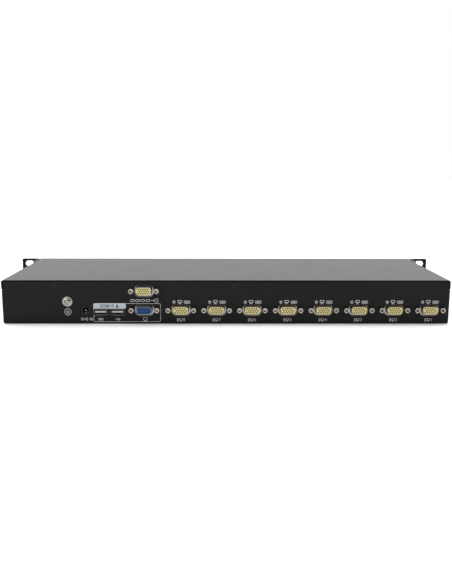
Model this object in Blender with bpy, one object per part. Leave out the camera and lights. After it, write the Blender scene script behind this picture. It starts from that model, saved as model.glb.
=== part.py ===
"""Rack-mount KVM switch, 1U high: eight computer ports, a console port and a daisy-chain port.

Metres, +Z up.  The push buttons face -Y, the connectors face +Y, and +X is port 8's side.
The origin is under the middle of the whole object, on the surface it rests on.
"""

import math

import bmesh
import bpy
from mathutils import Matrix, Vector

# Chassis
BODY_WIDTH = 0.4400  # over the sides of the sheet-metal box
BODY_HEIGHT = 0.0436  # a 1U panel, 44.45 mm less its clearance
BODY_DEPTH = 0.1500  # front panel's face to rear wall's face
SHEET = 0.0012  # steel sheet of tray and cover
BEND_RADIUS = 0.0020  # outer radius of a folded edge
COVER_SKIRT = 0.0095  # how far the cover's sides reach down
FIT = 0.0003  # gap between pieces that touch
SEAM = 0.0004  # open line between cover skirt and tray
PANEL_SHEET = 0.0020  # front panel plate

# Rack ears, to the 19-inch rack standard
EAR_REACH = 0.0213  # body side to ear tip, 482.6 mm over both tips
EAR_SHEET = 0.0020
EAR_FLANGE = 0.0250
EAR_CORNER = 0.0018
SLOT_FROM_TIP = 0.00875  # slots 465.1 mm apart, left to right
SLOT_RISE = 0.03175  # lower to upper slot in 1U
SLOT_LENGTH = 0.0103
SLOT_HEIGHT = 0.0068
SLOT_CORNER = 0.00339  # just short of a half round
EAR_SCREW_SETBACK = 0.0140  # behind the front panel's face
EAR_SCREW_RISE = 0.0150

# Fifteen-pin D connectors
PORT_COUNT = 8
PORT_PITCH = 0.0350
LAST_PORT_X = -0.2000  # port 1; the others follow towards +X
CONSOLE_X = 0.0810
PORT_Z = 0.0142
DAISY_RISE = 0.01905  # the stacked pair's distance
CONNECTOR_PROUD = 0.0054  # shell's rim beyond the rear wall
D_WIDTH = 0.01633
D_HEIGHT = 0.0079
D_RADIUS = 0.0026
D_SLANT = math.radians(10)
D_SHELL_SHEET = 0.0004
D_FIT = 0.00015  # insert in its shell
D_WINDOW_MARGIN = 0.0019  # rear wall's cut-out around the shell
FLANGE_WIDTH = 0.0308
FLANGE_HEIGHT = 0.0125
FLANGE_SHEET = 0.0008
FLANGE_CORNER = 0.0012
JACK_SPACING = 0.02499
JACK_HEX = 0.0048  # across flats
JACK_PROUD = 0.0050
JACK_SHANK_RADIUS = 0.0014
JACK_BORE_RADIUS = 0.0013
PIN_COLUMNS = 5
PIN_ROWS = 3
PIN_PITCH = 0.00229
PIN_ROW_PITCH = 0.00198
PIN_HOLE_RADIUS = 0.0006
PIN_HOLE_DEPTH = 0.0040
BLOCK_DEPTH = 0.0090  # moulded block behind a connector's flange

# USB sockets, power socket and ground screw
USB_XS = (0.1075, 0.1240)
USB_Z = 0.0119
USB_WIDTH = 0.0131
USB_HEIGHT = 0.0057
USB_SHEET = 0.0003
USB_CORNER = 0.0006
USB_PROUD = 0.0006
USB_LENGTH = 0.0140
TONGUE_WIDTH = 0.0111
TONGUE_SHEET = 0.0018
TONGUE_RISE = 0.0008  # tongue's middle above the socket's middle
DC_X = 0.1385
DC_Z = 0.0136
DC_NOSE_RADIUS = 0.0046
DC_BORE_RADIUS = 0.0032
DC_BORE_DEPTH = 0.0095
DC_PIN_RADIUS = 0.0010
DC_PIN_SETBACK = 0.0006  # pin's tip behind the rear wall's face
DC_BLOCK = 0.0095
DC_LENGTH = 0.0140
GROUND_X = 0.1560
GROUND_Z = 0.0225

# Screws: thread radius, head radius, head height, length under the head
M4_PAN = (0.0020, 0.0038, 0.0024, 0.0070)
M4_LOW = (0.0020, 0.0036, 0.0016, 0.0060)
M3_FLAT = (0.0014, 0.0025, 0.0010, 0.0045)
SCREW_PLAY = 0.0003
RECESS_REACH = 0.62  # crossed recess, as shares of the head's radius and height
RECESS_DEPTH = 0.65
RECESS_BAR = 0.28
WASHER_RADIUS = 0.0049
WASHER_SHEET = 0.0008
COVER_SCREW_XS = (0.1686, -0.0080, -0.1840)
COVER_SCREW_DROP = 0.0047
COVER_TAB_WIDTH = 0.0160
COVER_TAB_DROP = 0.0090

# Main board and what stands on it
BOARD_SHEET = 0.0016
BOARD_TOP = 0.0078
BOARD_SIDE_GAP = 0.0080  # board's end to the body's side
BOARD_DEPTH = 0.1150
POST_RADIUS = 0.0030
POST_XS = (-0.1900, 0.0000, 0.1900)
POST_SETBACKS = (0.0138, 0.1012)  # in front of the board's rear edge
CHIP_SETBACK = 0.0575
PROCESSOR = (-0.0400, 0.0140, 0.0016)  # x, side, height
VIDEO_CHIP = (0.0600, 0.0240, 0.0022)
HEAT_SINK = (0.1500, 0.0260, 0.0140)
SINK_FINS = 5
SINK_BASE = 0.0028
SINK_GAP = 0.0031
CAPACITOR_XS = (0.1100, 0.1250)
CAPACITOR_RADIUS = 0.0050
CAPACITOR_HEIGHT = 0.0160
CAPACITOR_EDGE = 0.0005
RIBBON_WIDTH = 0.0254
RIBBON_SHEET = 0.0010
RIBBON_Z = 0.0240
RIBBON_REACH = 0.0300
RIBBON_BEND = 0.0040  # inner radius of its fold

# Front controls
BUTTON_PROUD = 0.0015
BUTTON_TRAVEL = 0.0010
BUTTON_WIDTH = 0.0110
BUTTON_HEIGHT = 0.0065
BUTTON_CORNER = 0.0012
BUTTON_PITCH = 0.0220
FIRST_BUTTON_X = -0.0660
BUTTON_Z = 0.0170
BUTTON_COLLAR = 0.0012
BUTTON_STEM = 0.0036
LED_Z = 0.0310
LED_RADIUS = 0.0014
LED_PROUD = 0.0006
LED_OFFSET = 0.0035
POWER_LED_X = 0.1240
LIGHT_BAR_DEPTH = 0.0025
LIGHT_BAR_HEIGHT = 0.0060
WINDOW_X = -0.1150
WINDOW_Z = 0.0240
WINDOW_WIDTH = 0.0230
WINDOW_HEIGHT = 0.0140
WINDOW_LIP = 0.0015
DISPLAY_WIDTH = 0.0207
DISPLAY_HEIGHT = 0.0126
DISPLAY_DEPTH = 0.0060
KEY_BOARD_X = (-0.1420, 0.1420)
KEY_BOARD_Z = (0.0090, 0.0390)
KEY_BOARD_SETBACK = 0.0125  # behind the front panel's back
SWITCH_SIZE = 0.0060
SWITCH_DEPTH = 0.0038
SWITCH_BODY = 0.0030  # depth of the switch's housing, under its plunger
PLUNGER_RADIUS = 0.0017

# Places worked out from the above
HALF = BODY_WIDTH / 2
EAR_TIP = HALF + EAR_REACH
SLOT_X = EAR_TIP - SLOT_FROM_TIP
BOARD_HALF = HALF - BOARD_SIDE_GAP
STEP = SHEET + FIT  # how far the tray's sides step in under the cover
OVERALL_DEPTH = BUTTON_PROUD + BODY_DEPTH + CONNECTOR_PROUD
FRONT_Y = -OVERALL_DEPTH / 2 + BUTTON_PROUD
REAR_Y = FRONT_Y + BODY_DEPTH
PANEL_BACK_Y = FRONT_Y + PANEL_SHEET
SHEET_FRONT_Y = PANEL_BACK_Y + FIT
WALL_IN_Y = REAR_Y - SHEET
FLANGE_Y = WALL_IN_Y - FIT
FLANGE_BACK_Y = FLANGE_Y - FLANGE_SHEET
RIM_Y = REAR_Y + CONNECTOR_PROUD
SEAM_Z = BODY_HEIGHT - COVER_SKIRT
TRAY_TOP_Z = BODY_HEIGHT - SHEET - FIT
DAISY_Z = PORT_Z + DAISY_RISE
COVER_SCREW_Z = BODY_HEIGHT - COVER_SCREW_DROP
BOARD_BACK_Y = FLANGE_BACK_Y - FIT
POST_YS = tuple(BOARD_BACK_Y - setback for setback in POST_SETBACKS)
CHIP_Y = BOARD_BACK_Y - CHIP_SETBACK
EAR_SCREW_ZS = tuple(BODY_HEIGHT / 2 + side * EAR_SCREW_RISE / 2 for side in (-1, 1))
SLOT_ZS = tuple(BODY_HEIGHT / 2 + side * SLOT_RISE / 2 for side in (-1, 1))
BUTTON_XS = tuple(FIRST_BUTTON_X + i * BUTTON_PITCH for i in range(PORT_COUNT))
PORTS = [(f"port_{n}", LAST_PORT_X + (n - 1) * PORT_PITCH, PORT_Z) for n in range(1, PORT_COUNT + 1)]
PORTS += [("console", CONSOLE_X, PORT_Z), ("daisy", CONSOLE_X, DAISY_Z)]
KEY_BOARD_Y = PANEL_BACK_Y + KEY_BOARD_SETBACK
FAR = 0.0010  # how far a cutter runs past a face
UP = (0, 0, 1)
BACK = (0, 1, 0)


def material(name, colour, roughness, metallic=0.0):
    """A plain Principled material."""
    made = bpy.data.materials.new(name)
    made.use_nodes = True
    shader = made.node_tree.nodes["Principled BSDF"]
    shader.inputs["Base Color"].default_value = (*colour, 1)
    shader.inputs["Roughness"].default_value = roughness
    shader.inputs["Metallic"].default_value = metallic
    return made


def rounded(corners, segments=3):
    """The closed outline through corners (u, v, radius), each turned by an arc of its radius."""
    points = []
    for i, (u, v, radius) in enumerate(corners):
        here = Vector((u, v))
        before = (Vector(corners[i - 1][:2]) - here).normalized()
        after = (Vector(corners[(i + 1) % len(corners)][:2]) - here).normalized()
        if radius <= 0:
            points.append((u, v))
            continue
        half_angle = before.angle(after) / 2
        centre = here + (before + after).normalized() * (radius / math.sin(half_angle))
        start = here + before * (radius / math.tan(half_angle)) - centre
        end = here + after * (radius / math.tan(half_angle)) - centre
        turn = start.angle_signed(end)
        for k in range(segments + 1):
            spoke = start.copy()
            spoke.rotate(Matrix.Rotation(-turn * k / segments, 2))
            points.append(tuple(centre + spoke))
    return points


def rectangle(width, height, radius=0.0, centre=(0.0, 0.0), segments=3):
    """A rectangle's outline, with round corners if a radius is given."""
    u, v = centre
    signs = ((-1, -1), (1, -1), (1, 1), (-1, 1))
    corners = [(u + a * width / 2, v + b * height / 2, radius) for a, b in signs]
    return rounded(corners, segments)


def circle(radius, centre=(0.0, 0.0), sides=12):
    """A regular outline of that many sides on a circle."""
    turns = [2 * math.pi * k / sides for k in range(sides)]
    return [(centre[0] + radius * math.cos(a), centre[1] + radius * math.sin(a)) for a in turns]


def d_outline(x, z, margin=0.0):
    """A D connector's outline, wide at the top, grown by margin all round."""
    height = D_HEIGHT + 2 * margin
    top = D_WIDTH / 2 + margin
    low = top - height * math.tan(D_SLANT)
    radius = D_RADIUS + margin
    low_z = z - height / 2
    high_z = z + height / 2
    corners = [(x - low, low_z, radius), (x + low, low_z, radius)]
    corners += [(x + top, high_z, radius), (x - top, high_z, radius)]
    return rounded(corners, 2)


def along_y(outline, y0, y1):
    """A prism whose (x, z) outline runs from y0 to y1."""
    return prism([Vector((u, y0, v)) for u, v in outline], Vector((0, y1 - y0, 0)))


def along_x(outline, x0, x1):
    """A prism whose (y, z) outline runs from x0 to x1."""
    return prism([Vector((x0, u, v)) for u, v in outline], Vector((x1 - x0, 0, 0)))


def along_z(outline, z0, z1):
    """A prism whose (x, y) outline runs from z0 to z1."""
    return prism([Vector((u, v, z0)) for u, v in outline], Vector((0, 0, z1 - z0)))


def box(low, high):
    """A block from its lowest to its highest corner."""
    size = [high[i] - low[i] for i in range(2)]
    middle = [(high[i] + low[i]) / 2 for i in range(2)]
    return along_z(rectangle(*size, centre=middle), low[2], high[2])


def prism(points, offset):
    """A closed mesh: the outline, its copy at offset, and the walls between them."""
    mesh = bmesh.new()
    base = [mesh.verts.new(point) for point in points]
    far = [mesh.verts.new(point + offset) for point in points]
    mesh.faces.new(base)
    mesh.faces.new(reversed(far))
    for i in range(len(points)):
        j = (i + 1) % len(points)
        mesh.faces.new((base[j], base[i], far[i], far[j]))
    bmesh.ops.recalc_face_normals(mesh, faces=mesh.faces)
    return mesh


def turned(profile, sides, centre, axis):
    """A solid turned from (radius, distance) points about axis through centre; its ends lie on the axis."""
    mesh = bmesh.new()
    turn = Vector((0, 0, 1)).rotation_difference(Vector(axis)).to_matrix()
    rings = []
    for radius, distance in profile:
        if radius == 0:
            rings.append([mesh.verts.new(turn @ Vector((0, 0, distance)) + Vector(centre))])
            continue
        ring = [turn @ Vector((u, v, distance)) + Vector(centre) for u, v in circle(radius, sides=sides)]
        rings.append([mesh.verts.new(point) for point in ring])
    for low, high in zip(rings, rings[1:]):
        for i in range(sides):
            j = (i + 1) % sides
            corners = [low[i % len(low)], low[j % len(low)], high[j % len(high)], high[i % len(high)]]
            mesh.faces.new(dict.fromkeys(corners))
    bmesh.ops.recalc_face_normals(mesh, faces=mesh.faces)
    return mesh


def merged(meshes):
    """One mesh that holds several, as separate bodies."""
    whole = bmesh.new()
    for piece in meshes:
        held = bpy.data.meshes.new("held")
        piece.to_mesh(held)
        piece.free()
        whole.from_mesh(held)
        bpy.data.meshes.remove(held)
    return whole


def place(name, mesh, look, smooth=False, origin=(0, 0, 0)):
    """Puts a mesh in the scene as an object of that name, with its origin at that point."""
    data = bpy.data.meshes.new(name)
    bmesh.ops.translate(mesh, verts=mesh.verts, vec=-Vector(origin))
    mesh.to_mesh(data)
    mesh.free()
    if look:
        data.materials.append(look)
    if smooth:
        data.shade_smooth()
        data.set_sharp_from_angle(angle=math.radians(35))
    made = bpy.data.objects.new(name, data)
    made.location = origin
    bpy.context.scene.collection.objects.link(made)
    return made


def combine(target, tools, operation):
    """Joins tools to the target, or cuts them out of it; each tool holds bodies that stay apart."""
    for i, mesh in enumerate(tools):
        tool = place(f"{target.name}_{operation.lower()}_{i}", mesh, None)
        tool.hide_render = True
        tool.display_type = "WIRE"
        boolean = target.modifiers.new(tool.name, "BOOLEAN")
        boolean.operation = operation
        boolean.solver = "EXACT"
        boolean.object = tool


def cut(target, *tools):
    combine(target, tools, "DIFFERENCE")


def join(target, *tools):
    combine(target, tools, "UNION")


def screw(size, centre, axis, flat_head=False):
    """A screw's turned shape: its head's seat is at centre and its head points along axis."""
    thread, head, height, length = size
    if flat_head:
        profile = [(0, -length), (thread, -length), (thread, -height), (head, 0), (0, 0)]
    else:
        rim = head - height / 2
        profile = [(0, -length), (thread, -length), (thread, 0), (head, 0)]
        profile += [(head, height / 2), (rim, height), (0, height)]
    return turned(profile, 12, centre, axis)


def cross_recess(centre, axis, reach, depth):
    """The crossed slots in a screw's head, sunk from centre against axis."""
    half = reach * RECESS_BAR / 2
    outline = []
    for quarter in range(4):
        turn = Matrix.Rotation(math.pi / 2 * quarter, 2)
        for corner in ((reach, -half), (reach, half), (half, half)):
            outline.append(turn @ Vector(corner))
    stand = Vector((0, 0, 1)).rotation_difference(Vector(axis)).to_matrix()
    points = [stand @ Vector((u, v, -depth)) + Vector(centre) for u, v in outline]
    return prism(points, Vector(axis) * (depth + FAR))


def tray_outline(inset, top_z):
    """The tray's (x, z) cross-section, moved inwards by inset: round below, stepped in under the cover."""
    wide = HALF - inset
    narrow = wide - STEP
    radius = max(BEND_RADIUS - inset, 0)
    seam = SEAM_Z - inset
    right = [(wide, inset, radius), (wide, seam, 0), (narrow, seam, 0), (narrow, top_z, 0)]
    left = [(-u, v, radius) for u, v, radius in reversed(right)]
    return rounded(right + left)


def rear_windows():
    """Every cut-out of the rear wall, as prisms through it."""
    span = (WALL_IN_Y - FAR, REAR_Y + FAR)
    windows = []
    for _, x, z in PORTS:
        windows.append(along_y(d_outline(x, z, D_WINDOW_MARGIN), *span))
        for side in (-1, 1):
            hole = circle(JACK_SHANK_RADIUS + FIT, (x + side * JACK_SPACING / 2, z), 8)
            windows.append(along_y(hole, *span))
    for x in USB_XS:
        size = (USB_WIDTH + 2 * FIT, USB_HEIGHT + 2 * FIT)
        windows.append(along_y(rectangle(*size, centre=(x, USB_Z)), *span))
    windows.append(along_y(circle(DC_NOSE_RADIUS + FIT, (DC_X, DC_Z), 16), *span))
    windows.append(along_y(circle(M4_PAN[0] + SCREW_PLAY, (GROUND_X, GROUND_Z), 12), *span))
    for x in COVER_SCREW_XS:
        windows.append(flat_screw_seat(x))
    return windows


def flat_screw_seat(x):
    """The countersink that takes a cover screw's head."""
    thread, head, height, _ = M3_FLAT
    profile = [(0, -SHEET - FAR), (thread + SCREW_PLAY, -SHEET - FAR), (thread + SCREW_PLAY, -height)]
    profile += [(head + SCREW_PLAY, 0), (head + SCREW_PLAY, FAR), (0, FAR)]
    return turned(profile, 12, (x, REAR_Y, COVER_SCREW_Z), BACK)


def ear_screw_holes(side, low_x, high_x):
    """The holes for one ear's screws through everything between two distances from the middle."""
    ends = (side * low_x, side * high_x)
    y = FRONT_Y + EAR_SCREW_SETBACK
    radius = M4_LOW[0] + SCREW_PLAY
    return [along_x(circle(radius, (y, z), 12), min(ends), max(ends)) for z in EAR_SCREW_ZS]


def make_tray(look):
    tray = place("base_tray", along_y(tray_outline(0, TRAY_TOP_Z), SHEET_FRONT_Y, REAR_Y), look)
    cut(tray, along_y(tray_outline(SHEET, TRAY_TOP_Z + FAR), SHEET_FRONT_Y - FAR, WALL_IN_Y))
    rise = (SHEET / 2, BOARD_TOP - BOARD_SHEET - FIT)
    posts = [along_z(circle(POST_RADIUS, (x, y)), *rise) for x in POST_XS for y in POST_YS]
    join(tray, merged(posts))
    holes = [hole for side in (-1, 1) for hole in ear_screw_holes(side, HALF - SHEET - FAR, HALF + FAR)]
    cut(tray, merged(rear_windows() + holes))


def make_cover(look):
    top = BODY_HEIGHT
    inner = HALF - SHEET
    skirt = SEAM_Z + SEAM
    fold = BEND_RADIUS - SHEET
    corners = [(-HALF, skirt, 0), (-inner, skirt, 0), (-inner, top - SHEET, fold)]
    corners += [(inner, top - SHEET, fold), (inner, skirt, 0), (HALF, skirt, 0)]
    corners += [(HALF, top, BEND_RADIUS), (-HALF, top, BEND_RADIUS)]
    cover = place("top_cover", along_y(rounded(corners), SHEET_FRONT_Y, REAR_Y), look)
    back = WALL_IN_Y - FIT
    tabs, holes = [], []
    for x in COVER_SCREW_XS:
        half = COVER_TAB_WIDTH / 2
        low = (x - half, back - SHEET, top - COVER_TAB_DROP)
        tabs.append(box(low, (x + half, back, top - SHEET / 2)))
        hole = circle(M3_FLAT[0] + FIT, (x, COVER_SCREW_Z))
        holes.append(along_y(hole, back - SHEET - FAR, back + FIT / 2))
    join(cover, merged(tabs))
    cut(cover, merged(holes))


def make_front_panel(look):
    panel = place("front_panel", box((-HALF, FRONT_Y, 0), (HALF, PANEL_BACK_Y, BODY_HEIGHT)), look)
    tab_end = FRONT_Y + EAR_FLANGE
    outer = HALF - STEP - SHEET - FIT
    tabs = []
    for side in (-1, 1):
        xs = sorted((side * outer, side * (outer - PANEL_SHEET)))
        low = (xs[0], FRONT_Y + PANEL_SHEET / 2, SHEET + 2 * FIT + BEND_RADIUS)
        tabs.append(box(low, (xs[1], tab_end, SEAM_Z - SHEET - FIT)))
    for x in (KEY_BOARD_X[0] + 2 * POST_RADIUS, KEY_BOARD_X[1] - 2 * POST_RADIUS):
        post_z = KEY_BOARD_Z[0] + 1.5 * POST_RADIUS
        tabs.append(along_y(circle(POST_RADIUS, (x, post_z)), FRONT_Y + PANEL_SHEET / 2, KEY_BOARD_Y - FIT))
    join(panel, merged(tabs))
    span = (FRONT_Y - FAR, PANEL_BACK_Y + FAR)
    holes = [along_y(button_outline(x, FIT), *span) for x in BUTTON_XS]
    holes += [along_y(circle(LED_RADIUS + FIT, (x, LED_Z), 8), *span) for x in led_places()]
    size = (WINDOW_WIDTH + 2 * FIT, WINDOW_HEIGHT + 2 * FIT)
    holes.append(along_y(rectangle(*size, BUTTON_CORNER, (WINDOW_X, WINDOW_Z)), *span))
    for side in (-1, 1):
        holes += ear_screw_holes(side, outer - PANEL_SHEET - FAR, outer + FIT / 2)
    cut(panel, merged(holes))


def button_outline(x, margin=0.0):
    """A button cap's outline, grown by margin."""
    size = (BUTTON_WIDTH + 2 * margin, BUTTON_HEIGHT + 2 * margin)
    return rectangle(*size, BUTTON_CORNER + margin, (x, BUTTON_Z))


def led_places():
    """Two lights over each button, and the power light."""
    return [x + side * LED_OFFSET for x in BUTTON_XS for side in (-1, 1)] + [POWER_LED_X]


def make_ear(name, side, look):
    near = HALF + FIT
    tip, root = side * EAR_TIP, side * near
    corners = [(root, 0, 0), (tip, 0, EAR_CORNER), (tip, BODY_HEIGHT, EAR_CORNER), (root, BODY_HEIGHT, 0)]
    ear = place(name, along_y(rounded(corners), FRONT_Y, FRONT_Y + EAR_SHEET), look)
    xs = sorted((side * near, side * (near + EAR_SHEET)))
    start, end = FRONT_Y + EAR_SHEET / 2, FRONT_Y + EAR_FLANGE
    outline = [(start, 0, 0), (end, 0, 2 * EAR_CORNER)]
    outline += [(end, BODY_HEIGHT, 2 * EAR_CORNER), (start, BODY_HEIGHT, 0)]
    join(ear, along_x(rounded(outline), *xs))
    span = (FRONT_Y - FAR, FRONT_Y + EAR_SHEET + FAR)
    slots = []
    for z in SLOT_ZS:
        size = (SLOT_LENGTH, SLOT_HEIGHT, SLOT_CORNER)
        slots.append(along_y(rectangle(*size, (side * SLOT_X, z), segments=5), *span))
    slots += ear_screw_holes(side, near - FIT / 2, near + EAR_SHEET + FAR)
    cut(ear, merged(slots))
    for row, z in zip(("lower", "upper"), EAR_SCREW_ZS):
        seat = (side * (near + EAR_SHEET + FIT), FRONT_Y + EAR_SCREW_SETBACK, z)
        axis = (side, 0, 0)
        made = place(f"{name}_screw_{row}", screw(M4_LOW, seat, axis), LOOKS["black_screw"], smooth=True)
        _, head, height, _ = M4_LOW
        top = (seat[0] + side * height, seat[1], seat[2])
        cut(made, cross_recess(top, axis, head * RECESS_REACH, height * RECESS_DEPTH))


def make_connector(name, x, z, insert_look):
    """A D shell with its flange and jack posts, and the moulded insert that fills it."""
    flange = rectangle(FLANGE_WIDTH, FLANGE_HEIGHT, FLANGE_CORNER, (x, z))
    shell = place(f"vga_shell_{name}", along_y(flange, FLANGE_BACK_Y, FLANGE_Y), LOOKS["nickel"])
    join(shell, along_y(d_outline(x, z), FLANGE_BACK_Y + FLANGE_SHEET / 2, RIM_Y))
    join(shell, merged([jack_post(x + side * JACK_SPACING / 2, z) for side in (-1, 1)]))
    cut(shell, along_y(d_outline(x, z, -D_SHELL_SHEET), FLANGE_BACK_Y - FAR, RIM_Y + FAR))

    core = d_outline(x, z, -D_SHELL_SHEET - D_FIT)
    block_front = FLANGE_BACK_Y - FIT
    insert = place(f"vga_insert_{name}", along_y(core, block_front - FIT, RIM_Y - D_FIT), insert_look)
    block_ends = (x - FLANGE_WIDTH / 2, x + FLANGE_WIDTH / 2)
    join(insert, along_x(block_outline(z, block_front), *block_ends))
    holes = []
    for row in range(PIN_ROWS):
        stagger = PIN_PITCH / 2 * (-1 if row == 1 else 0)
        for column in range(PIN_COLUMNS):
            pin_x = x + (column - (PIN_COLUMNS - 1) / 2) * PIN_PITCH + stagger + PIN_PITCH / 4
            pin_z = z + (row - 1) * PIN_ROW_PITCH
            hole = circle(PIN_HOLE_RADIUS, (pin_x, pin_z), 4)
            holes.append(along_y(hole, RIM_Y - PIN_HOLE_DEPTH, RIM_Y + FAR))
    cut(insert, merged(holes))


def jack_post(x, z):
    """A jack post: a shank through the wall, a six-sided head behind it, and the blind bore in its end."""
    shank, bore, head = JACK_SHANK_RADIUS, JACK_BORE_RADIUS, JACK_HEX / math.sqrt(3)
    root = FLANGE_BACK_Y + FLANGE_SHEET / 2 - REAR_Y
    profile = [(0, root), (shank, root), (shank, FIT), (head, FIT), (head, JACK_PROUD)]
    profile += [(bore, JACK_PROUD), (bore, 2 * FIT), (0, 2 * FIT)]
    return turned(profile, 6, (x, REAR_Y, z), BACK)


def block_outline(z, front):
    """The moulded block's (y, z) outline; the stacked pair's upper one reaches down behind the lower."""
    low, high = BOARD_TOP + FIT, z + FLANGE_HEIGHT / 2
    if z < DAISY_Z:
        back = front - BLOCK_DEPTH
        return rounded([(back, low, 0), (front, low, 0), (front, high, 0), (back, high, 0)])
    back, step = front - 2 * BLOCK_DEPTH - FIT, front - BLOCK_DEPTH - FIT
    shelf = z - FLANGE_HEIGHT / 2
    corners = [(back, low, 0), (step, low, 0), (step, shelf, 0)]
    corners += [(front, shelf, 0), (front, high, 0), (back, high, 0)]
    return rounded(corners)


def make_usb(number, x):
    """One USB socket: a folded shell open at its mouth, and the contact tongue inside it."""
    back, mouth = REAR_Y - USB_LENGTH, REAR_Y + USB_PROUD
    outer = rectangle(USB_WIDTH, USB_HEIGHT, USB_CORNER, (x, USB_Z))
    shell = place(f"usb_shell_{number}", along_y(outer, back, mouth), LOOKS["nickel"])
    inner = (USB_WIDTH - 2 * USB_SHEET, USB_HEIGHT - 2 * USB_SHEET)
    cut(shell, along_y(rectangle(*inner, centre=(x, USB_Z)), back - FAR, mouth + FAR))
    base = rectangle(inner[0] - 2 * D_FIT, inner[1] - 2 * D_FIT, centre=(x, USB_Z))
    base_prism = along_y(base, back, back + 3 * TONGUE_SHEET)
    tongue = place(f"usb_tongue_{number}", base_prism, LOOKS["cream_plastic"])
    blade = rectangle(TONGUE_WIDTH, TONGUE_SHEET, centre=(x, USB_Z + TONGUE_RISE))
    join(tongue, along_y(blade, back + TONGUE_SHEET, mouth - 2 * FIT))


def make_power_socket():
    back = REAR_Y - DC_LENGTH
    nose = along_y(circle(DC_NOSE_RADIUS, (DC_X, DC_Z), 16), back, REAR_Y)
    body = place("dc_jack_body", nose, LOOKS["black_plastic"], smooth=True)
    low = (DC_X - DC_BLOCK / 2, back, BOARD_TOP + FIT)
    high = (DC_X + DC_BLOCK / 2, WALL_IN_Y - FIT, DC_Z + DC_NOSE_RADIUS)
    join(body, box(low, high))
    bore = along_y(circle(DC_BORE_RADIUS, (DC_X, DC_Z), 16), REAR_Y - DC_BORE_DEPTH, REAR_Y + FAR)
    seat = along_y(circle(DC_PIN_RADIUS + FIT, (DC_X, DC_Z), 10), back - FAR, REAR_Y + FAR)
    cut(body, bore, seat)
    tip = -DC_PIN_SETBACK
    profile = [(0, -DC_LENGTH), (DC_PIN_RADIUS, -DC_LENGTH), (DC_PIN_RADIUS, tip - DC_PIN_RADIUS / 2)]
    profile += [(DC_PIN_RADIUS / 2, tip), (0, tip)]
    pin = turned(profile, 10, (DC_X, REAR_Y, DC_Z), BACK)
    place("dc_jack_pin", pin, LOOKS["nickel"], smooth=True)


def make_rear_screws():
    thread, head, height, _ = M4_PAN
    far = FIT + WASHER_SHEET
    profile = [(0, FIT), (WASHER_RADIUS, FIT), (WASHER_RADIUS, far), (0, far)]
    ring = turned(profile, 20, (GROUND_X, REAR_Y, GROUND_Z), BACK)
    washer = place("ground_washer", ring, LOOKS["nickel"], smooth=True)
    hole = circle(thread + SCREW_PLAY, (GROUND_X, GROUND_Z))
    cut(washer, along_y(hole, REAR_Y - FAR, REAR_Y + 3 * WASHER_SHEET))
    seat = (GROUND_X, REAR_Y + WASHER_SHEET + 2 * FIT, GROUND_Z)
    top = (seat[0], seat[1] + height, seat[2])
    ground = place("ground_screw", screw(M4_PAN, seat, BACK), LOOKS["nickel"], smooth=True)
    cut(ground, cross_recess(top, BACK, head * RECESS_REACH, height * RECESS_DEPTH))
    _, head, height, _ = M3_FLAT
    for number, x in enumerate(COVER_SCREW_XS, 1):
        seat = (x, REAR_Y - FIT / 3, COVER_SCREW_Z)
        turned_screw = screw(M3_FLAT, seat, BACK, flat_head=True)
        flat = place(f"cover_screw_{number}", turned_screw, LOOKS["black_screw"], smooth=True)
        cut(flat, cross_recess(seat, BACK, head * RECESS_REACH, height * RECESS_DEPTH))


def make_buttons():
    """Eight push buttons: a cap through the panel, a collar that stops behind it, a stem to its switch."""
    stem_end = KEY_BOARD_Y - SWITCH_DEPTH - BUTTON_TRAVEL - FIT
    collar_front = PANEL_BACK_Y + FIT
    for number, x in enumerate(BUTTON_XS, 1):
        face = along_y(button_outline(x), FRONT_Y - BUTTON_PROUD, collar_front + FIT / 2)
        cap = place(f"port_button_{number}", face, LOOKS["grey_plastic"], origin=(x, FRONT_Y, BUTTON_Z))
        size = (BUTTON_WIDTH + 2 * BUTTON_COLLAR, BUTTON_HEIGHT + 2 * BUTTON_COLLAR)
        collar = rectangle(*size, centre=(x, BUTTON_Z))
        stem = rectangle(BUTTON_STEM, BUTTON_STEM, centre=(x, BUTTON_Z))
        behind = collar_front + BUTTON_COLLAR
        join(cap, along_y(collar, collar_front, behind), along_y(stem, behind - FIT, stem_end))


def make_front_parts():
    make_light_pipe()
    make_display()
    make_key_board()


def make_light_pipe():
    """One clear bar behind the panel, with a nub through each light hole."""
    places = led_places()
    front = PANEL_BACK_Y + FIT
    back = front + LIGHT_BAR_DEPTH
    low = (min(places) - 2 * LED_RADIUS, front, LED_Z - LIGHT_BAR_HEIGHT / 2)
    high = (max(places) + 2 * LED_RADIUS, back, LED_Z + LIGHT_BAR_HEIGHT / 2)
    bar = place("led_light_pipe", box(low, high), LOOKS["clear_plastic"])
    span = (FRONT_Y - LED_PROUD, back - LIGHT_BAR_DEPTH / 2)
    join(bar, merged([along_y(circle(LED_RADIUS, (x, LED_Z), 8), *span) for x in places]))


def make_display():
    """The window with its lip behind the panel, and the digit block on the key board."""
    centre = (WINDOW_X, WINDOW_Z)
    front = PANEL_BACK_Y + FIT
    lens = rectangle(WINDOW_WIDTH, WINDOW_HEIGHT, BUTTON_CORNER, centre)
    window = place("display_window", along_y(lens, FRONT_Y - FIT, front + FIT), LOOKS["smoked_plastic"])
    lip = rectangle(WINDOW_WIDTH + 2 * WINDOW_LIP, WINDOW_HEIGHT + 2 * WINDOW_LIP, centre=centre)
    join(window, along_y(lip, front, front + WINDOW_LIP))
    back = KEY_BOARD_Y - FIT
    digit = rectangle(DISPLAY_WIDTH, DISPLAY_HEIGHT, centre=centre)
    place("digit_display", along_y(digit, back - DISPLAY_DEPTH, back), LOOKS["black_plastic"])


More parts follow.
